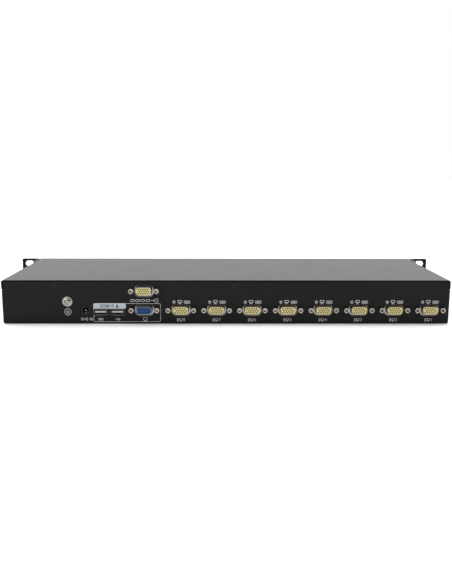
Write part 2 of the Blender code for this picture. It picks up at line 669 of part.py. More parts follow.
def make_key_board():
    """The board behind the front panel, with one switch and its plunger for each button."""
    low = (KEY_BOARD_X[0], KEY_BOARD_Y, KEY_BOARD_Z[0])
    high = (KEY_BOARD_X[1], KEY_BOARD_Y + BOARD_SHEET, KEY_BOARD_Z[1])
    board = place("key_board", box(low, high), LOOKS["circuit_board"])
    bodies, plungers = [], []
    for x in BUTTON_XS:
        body = rectangle(SWITCH_SIZE, SWITCH_SIZE, centre=(x, BUTTON_Z))
        bodies.append(along_y(body, KEY_BOARD_Y - SWITCH_BODY, KEY_BOARD_Y + BOARD_SHEET / 2))
        plunger = circle(PLUNGER_RADIUS, (x, BUTTON_Z), 8)
        plungers.append(along_y(plunger, KEY_BOARD_Y - SWITCH_DEPTH, KEY_BOARD_Y))
    join(board, merged(bodies), merged(plungers))


def make_inner_parts():
    """The main board, what stands on it, and the ribbon to the key board."""
    low = (-BOARD_HALF, BOARD_BACK_Y - BOARD_DEPTH, BOARD_TOP - BOARD_SHEET)
    high = (BOARD_HALF, BOARD_BACK_Y, BOARD_TOP)
    place("main_board", box(low, high), LOOKS["circuit_board"])
    seat = BOARD_TOP + FIT
    for name, (x, side, height) in (("processor_chip", PROCESSOR), ("video_chip", VIDEO_CHIP)):
        chip = rectangle(side, side, centre=(x, CHIP_Y))
        place(name, along_z(chip, seat, seat + height), LOOKS["black_plastic"])
    make_heat_sink(seat)
    edge = CAPACITOR_RADIUS - CAPACITOR_EDGE
    profile = [(0, 0), (CAPACITOR_RADIUS, 0), (CAPACITOR_RADIUS, CAPACITOR_HEIGHT - CAPACITOR_EDGE)]
    profile += [(edge, CAPACITOR_HEIGHT), (0, CAPACITOR_HEIGHT)]
    for number, x in enumerate(CAPACITOR_XS, 1):
        can = turned(profile, 16, (x, CHIP_Y, seat), UP)
        place(f"capacitor_{number}", can, LOOKS["aluminium"], smooth=True)
    make_ribbon(seat)


def make_heat_sink(seat):
    """A block with open slots from end to end that leave upright fins."""
    middle, side, height = HEAT_SINK
    block = rectangle(side, side, centre=(middle, CHIP_Y))
    sink = place("heat_sink", along_z(block, seat, seat + height), LOOKS["aluminium"])
    gaps = []
    for k in range(1, SINK_FINS):
        x = middle - side / 2 + k * side / SINK_FINS
        low = (x - SINK_GAP / 2, CHIP_Y - side, seat + SINK_BASE)
        gaps.append(box(low, (x + SINK_GAP / 2, CHIP_Y + side, seat + height + FAR)))
    cut(sink, merged(gaps))


def make_ribbon(seat):
    """The ribbon's (y, z) outline: back from the key board, then down to the main board."""
    start = KEY_BOARD_Y + BOARD_SHEET + FIT
    end = start + RIBBON_REACH
    inner = end - RIBBON_SHEET
    top = RIBBON_Z + RIBBON_SHEET
    outline = [(start, top, 0), (start, RIBBON_Z, 0), (inner, RIBBON_Z, RIBBON_BEND), (inner, seat, 0)]
    outline += [(end, seat, 0), (end, top, RIBBON_BEND + RIBBON_SHEET)]
    ribbon = along_x(rounded(outline), -RIBBON_WIDTH / 2, RIBBON_WIDTH / 2)
    place("ribbon_cable", ribbon, LOOKS["grey_plastic"])


def make_looks():
    LOOKS["black_steel"] = material("black_steel", (0.014, 0.014, 0.015), 0.45)
    LOOKS["nickel"] = material("nickel", (0.78, 0.76, 0.72), 0.22, 1.0)
    LOOKS["black_screw"] = material("black_screw", (0.020, 0.020, 0.021), 0.35, 0.8)
    LOOKS["cream_plastic"] = material("cream_plastic", (0.72, 0.58, 0.27), 0.45)
    LOOKS["blue_plastic"] = material("blue_plastic", (0.015, 0.085, 0.33), 0.40)
    LOOKS["black_plastic"] = material("black_plastic", (0.012, 0.012, 0.013), 0.50)
    LOOKS["grey_plastic"] = material("grey_plastic", (0.30, 0.31, 0.33), 0.50)
    LOOKS["clear_plastic"] = material("clear_plastic", (0.70, 0.74, 0.72), 0.25)
    LOOKS["smoked_plastic"] = material("smoked_plastic", (0.055, 0.006, 0.008), 0.12)
    LOOKS["circuit_board"] = material("circuit_board", (0.010, 0.110, 0.040), 0.40)
    LOOKS["aluminium"] = material("aluminium", (0.80, 0.80, 0.81), 0.35, 1.0)


def main():
    for old in list(bpy.data.objects):
        bpy.data.objects.remove(old)
    make_looks()
    make_tray(LOOKS["black_steel"])
    make_cover(LOOKS["black_steel"])
    make_front_panel(LOOKS["black_steel"])
    make_ear("rack_ear_port_1_side", -1, LOOKS["black_steel"])
    make_ear("rack_ear_port_8_side", 1, LOOKS["black_steel"])
    for name, x, z in PORTS:
        make_connector(name, x, z, LOOKS["blue_plastic" if name == "console" else "cream_plastic"])
    for number, x in enumerate(USB_XS, 1):
        make_usb(number, x)
    make_power_socket()
    make_rear_screws()
    make_buttons()
    make_front_parts()
    make_inner_parts()


LOOKS = {}
main()
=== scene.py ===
"""Looks of a rack-mount KVM switch: fine sheet metal, connectors, printing, controls, materials and a studio.

Everything is in metres in the frame's own axes: +Z up, -Y the front panel, +Y the connectors.
"""

import math

import bmesh
import bpy
import numpy as np
from bpy.props import FloatProperty, FloatVectorProperty, IntProperty, PointerProperty
from mathutils import Matrix, Vector
from mathutils.geometry import delaunay_2d_cdt


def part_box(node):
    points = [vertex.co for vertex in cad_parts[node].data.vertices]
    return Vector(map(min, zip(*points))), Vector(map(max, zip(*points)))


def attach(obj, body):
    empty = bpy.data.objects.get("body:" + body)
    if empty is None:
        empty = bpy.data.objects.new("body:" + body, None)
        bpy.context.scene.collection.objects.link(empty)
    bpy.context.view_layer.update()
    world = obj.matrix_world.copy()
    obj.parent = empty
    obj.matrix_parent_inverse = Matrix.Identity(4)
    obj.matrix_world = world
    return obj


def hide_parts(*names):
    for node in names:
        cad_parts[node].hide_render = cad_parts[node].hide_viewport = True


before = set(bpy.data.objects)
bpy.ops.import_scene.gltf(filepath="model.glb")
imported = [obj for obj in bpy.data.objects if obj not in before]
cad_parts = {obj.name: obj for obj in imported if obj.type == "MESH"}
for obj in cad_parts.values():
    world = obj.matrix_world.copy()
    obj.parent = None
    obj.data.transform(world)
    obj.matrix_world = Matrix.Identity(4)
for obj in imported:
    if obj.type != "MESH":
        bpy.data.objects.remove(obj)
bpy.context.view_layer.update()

bl_info = {
    "name": "Rack KVM Switch",
    "blender": (4, 5, 0),
    "version": (1, 0, 0),
    "location": "View3D > Sidebar > Switch",
    "description": "Builds the visible pieces, materials and studio of a rack-mount KVM switch",
    "category": "Add Mesh",
}

MM = 0.001
CASE = "case"

# Places read from the frame
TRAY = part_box("base_tray")
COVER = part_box("top_cover")
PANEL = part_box("front_panel")
REAR_Y = TRAY[1].y
SHEET_FRONT_Y = TRAY[0].y
HALF = TRAY[1].x
BODY_HEIGHT = COVER[1].z
FRONT_Y = PANEL[0].y
PORT_NAMES = [f"port_{n}" for n in range(1, 9)] + ["console", "daisy"]
SHELLS = {name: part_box(f"vga_shell_{name}") for name in PORT_NAMES}
PORTS = {name: ((low.x + high.x) / 2, (low.z + high.z) / 2) for name, (low, high) in SHELLS.items()}
RIM_Y = SHELLS["console"][1].y
FLANGE_BACK_Y = SHELLS["console"][0].y
BUTTONS = [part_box(f"port_button_{n}") for n in range(1, 9)]
EARS = ((-1, "rack_ear_port_1_side"), (1, "rack_ear_port_8_side"))

# Sheet metal
SHEET = 1.2 * MM
FIT = 0.3 * MM
BEND = 2.0 * MM
PANEL_SHEET = 2.0 * MM
EAR_SHEET = 2.0 * MM
WALL_IN_Y = REAR_Y - SHEET
SEAM_GAP = 0.4 * MM
EAR_BEND = 2.6 * MM
EAR_CORNER = 1.8 * MM
EAR_FLANGE_CORNER = 3.6 * MM
SLOT_SIZE = (10.3 * MM, 6.8 * MM)
SLOT_CORNER = 3.39 * MM
SLOT_FROM_TIP = 8.75 * MM
SLOT_FROM_MIDDLE = 15.875 * MM

# Screws: head radius, head height, shank radius
EARTH_SCREW = (3.8 * MM, 2.4 * MM, 2.0 * MM)
EAR_SCREW = (3.6 * MM, 1.6 * MM, 2.0 * MM)
COVER_SCREW_RADIUS = 2.5 * MM
COVER_SCREW_SHANK = 1.4 * MM
M4_HOLE_RADIUS = 2.3 * MM
COVER_SCREW_HOLE = 1.8 * MM
COVER_TAB = (16.0 * MM, 8.4 * MM)
COVER_TAB_DROP = 4.8 * MM

# Front controls
BUTTON_SIZE = (11.0 * MM, 6.5 * MM)
BUTTON_XS = [(low.x + high.x) / 2 for low, high in BUTTONS]
LIGHT_XS = [x + side * 3.5 * MM for x in BUTTON_XS for side in (-1, 1)] + [124.0 * MM]
LIGHT_Z = 31.0 * MM
LIGHT_RADIUS = 1.4 * MM
DISPLAY_WINDOW = (23.0 * MM, 14.0 * MM)

# D connectors
D_WIDTH = 16.33 * MM
D_HEIGHT = 7.9 * MM
D_RADIUS = 2.6 * MM
D_SLANT = math.radians(10)
D_WINDOW_LOW_HALF = 8.67 * MM
D_WINDOW_TOP_HALF = 9.5 * MM
D_WINDOW_BELOW = 5.85 * MM
D_WINDOW_ABOVE = 4.55 * MM
D_WINDOW_LOW_RADIUS = 4.5 * MM
D_WINDOW_TOP_RADIUS = 3.6 * MM
CUT_EDGE = 0.4 * MM
FLANGE_SHEET = 0.8 * MM
FLANGE_SIZE = (30.8 * MM, 12.5 * MM)
JACK_SPACING = 24.99 * MM
JACK_HEX = 4.8 * MM
JACK_PROUD = 5.0 * MM
JACK_BORE = 1.50 * MM
THREAD_PITCH = 0.635 * MM
PIN_PITCH = 2.29 * MM
PIN_ROW_PITCH = 1.98 * MM
PIN_HOLE = 0.60 * MM
PIN_HOLE_DEPTH = 3.4 * MM
POST_SHANK = 1.4 * MM
POST_HOLE_RADIUS = 1.7 * MM

# USB and power sockets
USB_WALL = 0.3 * MM
USB_FLARE = 0.25 * MM
USB_TONGUE = (11.1 * MM, 1.5 * MM)
USB_TONGUE_RISE = 0.15 * MM
USB_BASE_DEPTH = 5.4 * MM
USB_CONTACT_PITCH = 2.25 * MM
POWER_NOSE_RADIUS = 4.6 * MM
POWER_BORE_RADIUS = 3.0 * MM
POWER_BORE_DEPTH = 9.5 * MM
POWER_PIN_RADIUS = 1.0 * MM

# Camera: from the rear wall's foot, and its turns in degrees
CAMERA_PLACE = (9.14 * MM, REAR_Y + 641 * MM, 157.2 * MM)
CAMERA_TURN = 180 - 0.745
CAMERA_TILT = 90 - 11.05
CAMERA_ROLL = 0.17


# ---------------------------------------------------------------- outlines


def corner_loop(corners, margin=0.0, steps=6):
    """A closed outline through corners (u, v, radius), moved outwards by margin.

    Each edge moves along its outward normal, so a corner moves by margin * (n1 + n2) / (1 + n1.n2).
    A rounded corner is centre + radius * (cos, sin) over the angle that the two edges turn through.
    """
    table = np.array(corners, float)
    points, radii = table[:, :2], table[:, 2]
    edges = np.roll(points, -1, 0) - points
    after = edges / np.linalg.norm(edges, axis=1, keepdims=True)
    before = np.roll(after, 1, 0)
    normal_after = np.stack([after[:, 1], -after[:, 0]], 1)
    normal_before = np.roll(normal_after, 1, 0)
    share = 1 + (normal_before * normal_after).sum(1, keepdims=True)
    moved = points + margin * (normal_before + normal_after) / share
    turn = np.arctan2(before[:, 0] * after[:, 1] - before[:, 1] * after[:, 0], (before * after).sum(1))
    sign = np.where(turn < 0, -1.0, 1.0)
    radius = np.where(radii > 0, np.maximum(radii + sign * margin, 0.02 * MM), 0)
    start = moved - before * (radius * np.tan(np.abs(turn) / 2))[:, None]
    spoke = normal_before * (sign * radius)[:, None]
    centre = start - spoke
    angle = turn[:, None] * np.linspace(0, 1, steps + 1)[None, :]
    cos, sin = np.cos(angle), np.sin(angle)
    arc_u = centre[:, :1] + cos * spoke[:, :1] - sin * spoke[:, 1:]
    arc_v = centre[:, 1:] + sin * spoke[:, :1] + cos * spoke[:, 1:]
    arcs = np.stack([arc_u, arc_v], 2)
    keep = (radii > 0)[:, None] | (np.arange(steps + 1) == 0)[None, :]
    return arcs[keep]


def box_loop(width, height, radius=0.0, centre=(0.0, 0.0), steps=6):
    """An outline function of margin: a rectangle with round corners."""
    u, v = centre
    signs = ((-1, -1), (1, -1), (1, 1), (-1, 1))
    corners = [(u + a * width / 2, v + b * height / 2, radius) for a, b in signs]
    return lambda margin=0.0: corner_loop(corners, margin, steps)


def circle_loop(radius, centre=(0.0, 0.0), steps=32):
    """An outline function of margin: centre + (radius + margin) * (cos t, sin t)."""
    turn = np.arange(steps) * 2 * np.pi / steps
    spokes = np.stack([np.cos(turn), np.sin(turn)], 1)
    return lambda margin=0.0: np.array(centre) + (radius + margin) * spokes


def d_loop(centre, steps=8):
    """An outline function of margin: a D connector's, wide at the top, its sides leaning in by D_SLANT."""
    u, v = centre
    top = D_WIDTH / 2
    low = top - D_HEIGHT * math.tan(D_SLANT)
    corners = [(u - low, v - D_HEIGHT / 2, D_RADIUS), (u + low, v - D_HEIGHT / 2, D_RADIUS)]
    corners += [(u + top, v + D_HEIGHT / 2, D_RADIUS), (u - top, v + D_HEIGHT / 2, D_RADIUS)]
    return lambda margin=0.0: corner_loop(corners, margin, steps)


def d_window_loop(centre, steps=8):
    """An outline function of margin: the rear wall's D window, tight above the shell and roomy below it."""
    u, v = centre
    corners = [(u - D_WINDOW_LOW_HALF, v - D_WINDOW_BELOW, D_WINDOW_LOW_RADIUS)]
    corners += [(u + D_WINDOW_LOW_HALF, v - D_WINDOW_BELOW, D_WINDOW_LOW_RADIUS)]
    corners += [(u + D_WINDOW_TOP_HALF, v + D_WINDOW_ABOVE, D_WINDOW_TOP_RADIUS)]
    corners += [(u - D_WINDOW_TOP_HALF, v + D_WINDOW_ABOVE, D_WINDOW_TOP_RADIUS)]
    return lambda margin=0.0: corner_loop(corners, margin, steps)


def soft_edge(near, far, radius, steps=4):
    """(margin, depth) steps of a quarter round from the face at near, then straight to far.

    margin = -radius * (1 - sin a), depth = near + side * radius * (1 - cos a), a from 0 to a right angle.
    """
    side = math.copysign(1.0, far - near)
    turn = np.linspace(0, math.pi / 2, steps + 1)
    rings = [(-radius * (1 - math.sin(a)), near + side * radius * (1 - math.cos(a))) for a in turn]
    return rings + [(0.0, far)]


def soft_hole(near, far, radius, steps=4):
    """The same for a hole: its mouth is wider by radius at the face."""
    return [(-margin, depth) for margin, depth in soft_edge(near, far, radius, steps)]


# ---------------------------------------------------------------- solids


class Solid:
    """Closed bodies gathered as arrays of points and faces, one material number for each face."""

    def __init__(self, turn="xz"):
        self.points, self.faces, self.looks = [], [], []
        self.count = 0
        self.turn = turn

    def stand(self, local):
        """(u, v, w) to (x, y, z): an outline over x and z has its depth w along y, and so on."""
        u, v, w = local[..., 0], local[..., 1], local[..., 2]
        order = {"xz": (u, w, v), "yz": (w, u, v), "xy": (u, v, w)}[self.turn]
        return np.stack(order, -1)

    def add(self, local, faces, look=0, mapping=None):
        points = mapping(local) if mapping else self.stand(local)
        self.points.append(points.reshape(-1, 3))
        for block in faces:
            shifted = np.asarray(block) + self.count
            self.faces += shifted.tolist()
            self.looks += [look] * len(shifted)
        self.count += points.reshape(-1, 3).shape[0]

    def take(self, other, look=0):
        """The bodies of another solid, which already stand in their place."""
        self.points += other.points
        self.faces += [[index + self.count for index in face] for face in other.faces]
        self.looks += [look] * len(other.faces)
        self.count += other.count

    def grid(self, rings, look=0, caps=True, closed=False, mapping=None):
        """Rings (K, N, 3) joined by quads: around each ring, and from each ring to the next."""
        count, around = rings.shape[:2]
        index = np.arange(count * around).reshape(count, around)
        low, high = (index, np.roll(index, -1, 0)) if closed else (index[:-1], index[1:])
        quads = np.stack([low, np.roll(low, -1, 1), np.roll(high, -1, 1), high], -1).reshape(-1, 4)
        faces = [quads]
        if caps and not closed:
            faces += [index[:1], index[-1:]]
        self.add(rings, faces, look, mapping)

    def sweep(self, outline, profile, look=0, caps=True, closed=False, mapping=None):
        """An outline function carried through (margin, depth) steps."""
        self.grid(rings_of(outline, profile), look, caps, closed, mapping)

    def turned(self, profile, centre, look=0, steps=32):
        """Rings of (radius, depth) about centre."""
        radius, depth = np.array(profile, float).T
        turn = np.arange(steps) * 2 * np.pi / steps
        u = radius[:, None] * np.cos(turn)[None, :]
        v = radius[:, None] * np.sin(turn)[None, :]
        w = np.repeat(depth[:, None], steps, 1)
        rings = np.stack([u + centre[0], v + centre[1], w + centre[2]], -1)
        self.grid(rings, look)

    def plate(self, outer, holes=(), look=0, seams=(), mapping=None):
        """A plate with holes. outer is (outline, profile); each hole is (outline, profile, blind or not).

        Profiles run from the front face to the back face. Both faces are filled between the rings that end
        the profiles, and a blind hole is closed by its last ring.
        """
        loops = [rings_of(*outer)] + [rings_of(*hole[:2]) for hole in holes]
        blind = [False] + [len(hole) > 2 and hole[2] for hole in holes]
        starts, total = [], 0
        faces = []
        for rings, shut in zip(loops, blind):
            count, around = rings.shape[:2]
            index = np.arange(count * around).reshape(count, around) + total
            starts.append(index)
            low, high = index[:-1], index[1:]
            faces.append(np.stack([low, np.roll(low, -1, 1), np.roll(high, -1, 1), high], -1).reshape(-1, 4))
            if shut:
                faces.append(index[-1:])
            total += count * around
        every = np.concatenate([rings.reshape(-1, 3) for rings in loops])
        faces.append(filled(every, [index[0] for index in starts], seams))
        through = [index[-1] for index, shut in zip(starts, blind) if not shut]
        faces.append(filled(every, through, seams))
        self.add(every, faces, look, mapping)


def rings_of(outline, profile):
    """The outline at each (margin, depth), as an array of rings."""
    rings = []
    for margin, depth in profile:
        flat = outline(margin)
        rings.append(np.column_stack([flat, np.full(len(flat), depth)]))
    return np.array(rings)


def filled(points, loops, seams=()):
    """Triangles between the first loop and the others, which are convex; seams are lines of equal u."""
    order = np.concatenate(loops)
    flat = points[order, :2] / MM
    edges, start = [], 0
    for loop in loops:
        ids = np.arange(len(loop)) + start
        edges += np.stack([ids, np.roll(ids, -1)], 1).tolist()
        start += len(loop)
    for seam in seams:
        edges.append(np.flatnonzero(np.abs(flat[:, 0] - seam / MM) < 1e-4)[:2].tolist())
    verts, _, faces, origin, _, _ = delaunay_2d_cdt([Vector(p) for p in flat], edges, [], 1, 1e-6)
    if any(not ids for ids in origin):
        raise RuntimeError("two outlines cross")
    triangles = np.array([face for face in faces if len(face) == 3])
    flat_out = np.array(verts)
    middle = flat_out[triangles].mean(1)
    keep = np.ones(len(triangles), bool)
    start = len(loops[0])
    for loop in loops[1:]:
        ring = flat[start : start + len(loop)]
        side = np.roll(ring, -1, 0) - ring
        away = middle[:, None, :] - ring[None, :, :]
        cross = side[None, :, 0] * away[:, :, 1] - side[None, :, 1] * away[:, :, 0]
        keep &= ~((cross > 0).all(1) | (cross < 0).all(1))
        start += len(loop)
    back = order[np.array([ids[0] for ids in origin])]
    return back[triangles[keep]]


def make_piece(name, solid, looks, body=CASE, stands_for=(), crease=35.0):
    """One object from a solid: its doubles merged, its faces outwards, creased where faces meet sharply."""
    mesh = bpy.data.meshes.new(name)
    mesh.from_pydata(np.concatenate(solid.points).tolist(), [], solid.faces)
    mesh.polygons.foreach_set("material_index", solid.looks)
    edit = bmesh.new()
    edit.from_mesh(mesh)
    bmesh.ops.remove_doubles(edit, verts=edit.verts, dist=0.0005 * MM)
    bmesh.ops.recalc_face_normals(edit, faces=edit.faces)
    edit.to_mesh(mesh)
    edit.free()
    mesh.shade_smooth()
    mesh.set_sharp_from_angle(angle=math.radians(crease))
    for look in looks:
        mesh.materials.append(MATERIALS[look])
    piece = bpy.data.objects.new(name, mesh)
    bpy.context.scene.collection.objects.link(piece)
    weighted = piece.modifiers.new("weighted_normals", "WEIGHTED_NORMAL")
    weighted.keep_sharp = True
    weighted.weight = 80
    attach(piece, body)
    if stands_for:
        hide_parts(*stands_for)
    return piece


# ---------------------------------------------------------------- materials

MATERIALS = {}


def new_group(name, inputs, outputs):
    """A shader node group with named sockets: (name, kind, default) going in, (name, kind) coming out."""
    group = bpy.data.node_groups.new(name, "ShaderNodeTree")
    for label, kind, default in inputs:
        socket = group.interface.new_socket(name=label, in_out="INPUT", socket_type=kind)
        if default is not None:
            socket.default_value = default
    for label, kind in outputs:
        group.interface.new_socket(name=label, in_out="OUTPUT", socket_type=kind)
    enter = group.nodes.new("NodeGroupInput")
    leave = group.nodes.new("NodeGroupOutput")
    return group, enter, leave


def noise_node(tree, vector, scale, detail=3.0, rough=0.55):
    node = tree.nodes.new("ShaderNodeTexNoise")
    node.inputs["Detail"].default_value = detail
    node.inputs["Roughness"].default_value = rough
    link(tree, vector, node.inputs["Vector"])
    feed(tree, scale, node.inputs["Scale"])
    return node.outputs["Fac"]


def link(tree, source, target):
    tree.links.new(source, target)


def feed(tree, value, socket):
    """A number goes on the socket itself; anything else is linked to it."""
    if isinstance(value, (int, float)):
        socket.default_value = value
    else:
        link(tree, value, socket)


def math_node(tree, operation, first, second=0.0, clamp=False):
    node = tree.nodes.new("ShaderNodeMath")
    node.operation = operation
    node.use_clamp = clamp
    feed(tree, first, node.inputs[0])
    feed(tree, second, node.inputs[1])
    return node.outputs[0]


def range_node(tree, value, low, high, new_low, new_high):
    """value from low..high onto new_low..new_high, held at the ends."""
    node = tree.nodes.new("ShaderNodeMapRange")
    for socket, number in zip(list(node.inputs)[:5], (value, low, high, new_low, new_high)):
        feed(tree, number, socket)
    return node.outputs[0]


def mix_node(tree, share, first, second):
    node = tree.nodes.new("ShaderNodeMix")
    node.data_type = "RGBA"
    feed(tree, share, node.inputs[0])
    for value, socket in ((first, node.inputs[6]), (second, node.inputs[7])):
        if hasattr(value, "is_output"):
            link(tree, value, socket)
        else:
            socket.default_value = (*value[:3], 1.0)
    return node.outputs[2]


def make_groups():
    """The two effects that materials share: a fine grain, and a used surface's marks and drift of tone."""
    grain, enter, leave = new_group(
        "fine_grain",
        [("Vector", "NodeSocketVector", None),
         ("Scale", "NodeSocketFloat", 1500.0),
         ("Amount", "NodeSocketFloat", 0.5)],
        [("Height", "NodeSocketFloat"), ("Mask", "NodeSocketFloat")],
    )
    fine = noise_node(grain, enter.outputs["Vector"], enter.outputs["Scale"], 2.0)
    coarse_scale = math_node(grain, "MULTIPLY", enter.outputs["Scale"], 0.31)
    coarse = noise_node(grain, enter.outputs["Vector"], coarse_scale, 2.0)
    fine_part = math_node(grain, "MULTIPLY", fine, 0.6)
    coarse_part = math_node(grain, "MULTIPLY", coarse, 0.4)
    both = math_node(grain, "ADD", fine_part, coarse_part)
    link(grain, math_node(grain, "MULTIPLY", both, enter.outputs["Amount"]), leave.inputs["Height"])
    link(grain, range_node(grain, both, 0.35, 0.65, 0.0, 1.0), leave.inputs["Mask"])

    wear, enter, leave = new_group(
        "handling_wear",
        [("Vector", "NodeSocketVector", None),
         ("Scale", "NodeSocketFloat", 14.0),
         ("Smudge", "NodeSocketFloat", 0.5)],
        [("Tone", "NodeSocketFloat"), ("Smudges", "NodeSocketFloat")],
    )
    drift = noise_node(wear, enter.outputs["Vector"], enter.outputs["Scale"], 3.0, 0.5)
    link(wear, range_node(wear, drift, 0.3, 0.7, 0.0, 1.0), leave.inputs["Tone"])
    smudge_scale = math_node(wear, "MULTIPLY", enter.outputs["Scale"], 5.3)
    patches = noise_node(wear, enter.outputs["Vector"], smudge_scale, 5.0, 0.7)
    held = range_node(wear, patches, 0.5, 0.72, 0.0, 1.0)
    link(wear, math_node(wear, "MULTIPLY", held, enter.outputs["Smudge"]), leave.inputs["Smudges"])
    return {"grain": grain, "wear": wear}


def place_group(tree, group, vector, **values):
    node = tree.nodes.new("ShaderNodeGroup")
    node.node_tree = group
    link(tree, vector, node.inputs["Vector"])
    for label, value in values.items():
        node.inputs[label].default_value = value
    return node


def finish(name, groups, base, second, roughness, grain, depth, metallic=0.0, wear=(14.0, 0.3), **sockets):
    """A Principled material: two tones that drift, roughness that rises with smudges, and a grain as bump.

    roughness is (low, high); grain is the grain's scale per metre and depth its height in metres.
    """
    made = bpy.data.materials.new(name)
    made.use_nodes = True
    tree = made.node_tree
    shader = tree.nodes["Principled BSDF"]
    place = tree.nodes.new("ShaderNodeTexCoord").outputs["Object"]
    marks = place_group(tree, groups["wear"], place, Scale=wear[0], Smudge=wear[1])
    texture = place_group(tree, groups["grain"], place, Scale=grain, Amount=1.0)
    broad = math_node(tree, "MULTIPLY", marks.outputs["Tone"], 0.6)
    speckle = math_node(tree, "MULTIPLY", texture.outputs["Mask"], 0.4)
    tone = math_node(tree, "ADD", broad, speckle, clamp=True)
    link(tree, mix_node(tree, tone, base, second), shader.inputs["Base Color"])
    rough_speckle = math_node(tree, "MULTIPLY", texture.outputs["Mask"], 0.35)
    spread = math_node(tree, "ADD", marks.outputs["Smudges"], rough_speckle, clamp=True)
    link(tree, range_node(tree, spread, 0.0, 1.0, *roughness), shader.inputs["Roughness"])
    shader.inputs["Metallic"].default_value = metallic
    bump = tree.nodes.new("ShaderNodeBump")
    bump.inputs["Strength"].default_value = 1.0
    bump.inputs["Distance"].default_value = depth
    link(tree, texture.outputs["Height"], bump.inputs["Height"])
    link(tree, bump.outputs["Normal"], shader.inputs["Normal"])
    for label, value in sockets.items():
        shader.inputs[label.replace("_", " ")].default_value = value
    MATERIALS[name] = made
    return made


def scaled(colour, factor):
    return tuple(channel * factor for channel in colour[:3])


def make_materials(colours):
    """Every finish of the switch, made from the colours in the panel."""
    groups = make_groups()
    make_metals(groups, colours)
    make_plastics(groups, colours)
    make_inks(groups, colours)
    make_inner_finishes(groups)


def make_metals(groups, colours):
    """The coated sheet, nickel, tinned steel, the cut edges' bare metal, contacts, aluminium and screws; the
    contacts are painted near black as painted shade in their holes.
    """
    coat, nickel = colours.coat, colours.nickel
    finish("black_powder_coat", groups, coat, scaled(coat, 1.5), (0.40, 0.52), 1300, 0.012 * MM,
           wear=(9.0, 0.25), Specular_IOR_Level=0.24)
    finish("nickel_plate", groups, nickel, scaled(nickel, 0.84), (0.14, 0.30), 2400, 0.002 * MM,
           metallic=1.0, wear=(90.0, 0.5))
    finish("bare_cut_edge", groups, (0.40, 0.325, 0.285), (0.32, 0.255, 0.22), (0.34, 0.50), 2400,
           0.002 * MM, metallic=1.0)
    finish("tinned_steel", groups, (0.27, 0.26, 0.245), (0.21, 0.20, 0.19), (0.22, 0.40), 2400,
           0.002 * MM, metallic=1.0)
    finish("black_screw", groups, (0.020, 0.020, 0.021), (0.034, 0.033, 0.032), (0.28, 0.45), 2400,
           0.002 * MM, metallic=0.6)
    # Near-black contacts, not the contacts' own gold: painted shade in the pin holes and under the USB tongues.
    finish("contact_painted_shade", groups, (0.006, 0.004, 0.002), (0.004, 0.003, 0.002), (0.45, 0.60), 2600,
           0.002 * MM, metallic=0.2)
    finish("aluminium", groups, (0.78, 0.78, 0.79), (0.70, 0.70, 0.72), (0.28, 0.44), 1400,
           0.004 * MM, metallic=1.0)


def make_plastics(groups, colours):
    """The inserts, sockets, buttons, light pipe, window and display."""
    cream, blue, button = colours.cream, colours.blue, colours.button
    finish("cream_plastic", groups, cream, scaled(cream, 0.96), (0.34, 0.48), 1800, 0.003 * MM,
           wear=(60.0, 0.3))
    finish("blue_plastic", groups, blue, scaled(blue, 1.2), (0.32, 0.46), 1800, 0.003 * MM,
           wear=(60.0, 0.3))
    finish("button_plastic", groups, button, scaled(button, 0.9), (0.38, 0.52), 2200, 0.005 * MM,
           wear=(60.0, 0.5))
    finish("white_plastic", groups, (0.86, 0.82, 0.74), (0.80, 0.75, 0.66), (0.30, 0.42), 1800,
           0.002 * MM)
    finish("black_plastic", groups, (0.010, 0.010, 0.011), (0.016, 0.016, 0.017), (0.35, 0.50), 1800,
           0.004 * MM)
    finish("clear_plastic", groups, (0.66, 0.72, 0.68), (0.58, 0.66, 0.60), (0.15, 0.28), 1200,
           0.001 * MM, Coat_Weight=0.4)
    finish("smoked_plastic", groups, (0.060, 0.006, 0.008), (0.050, 0.005, 0.007), (0.05, 0.14), 800,
           0.0005 * MM, Coat_Weight=0.5)
    finish("display_module", groups, (0.020, 0.020, 0.020), (0.030, 0.030, 0.031), (0.40, 0.55), 1800,
           0.003 * MM)


def make_inks(groups, colours):
    """The light prints, the light tab behind some of them and the dark signs on it."""
    ink, tab = colours.ink, colours.tab
    finish("white_ink", groups, ink, scaled(ink, 0.84), (0.45, 0.60), 3000, 0.004 * MM,
           wear=(120.0, 0.4))
    finish("tab_ink", groups, tab, scaled(tab, 0.9), (0.42, 0.55), 3000, 0.004 * MM,
           wear=(120.0, 0.4))
    finish("dark_ink", groups, (0.020, 0.022, 0.030), (0.034, 0.036, 0.045), (0.45, 0.60), 3000,
           0.003 * MM)


def make_inner_finishes(groups):
    """The boards, chips and ribbon inside."""
    finish("chip_plastic", groups, (0.014, 0.014, 0.015), (0.022, 0.022, 0.022), (0.45, 0.60), 1600,
           0.005 * MM)
    finish("ribbon", groups, (0.44, 0.45, 0.47), (0.38, 0.39, 0.41), (0.45, 0.60), 787, 0.05 * MM)
    finish("circuit_board", groups, (0.008, 0.10, 0.035), (0.012, 0.15, 0.055), (0.25, 0.42), 420,
           0.02 * MM, Coat_Weight=0.3)


# ---------------------------------------------------------------- case


def tray_corners(inset, top_z):
    """The tray's cross-section moved inwards by inset: round at the folds, stepped in under the cover."""
    wide = HALF - inset
    step = SHEET + FIT
    seam = COVER[0].z - SEAM_GAP - inset
    radius = BEND - inset
    right = [(wide, inset, radius), (wide, seam, 0.4 * MM)]
    right += [(wide - step, seam, 0.2 * MM), (wide - step, top_z, 0)]
    return right, [(-u, v, r) for u, v, r in reversed(right)]


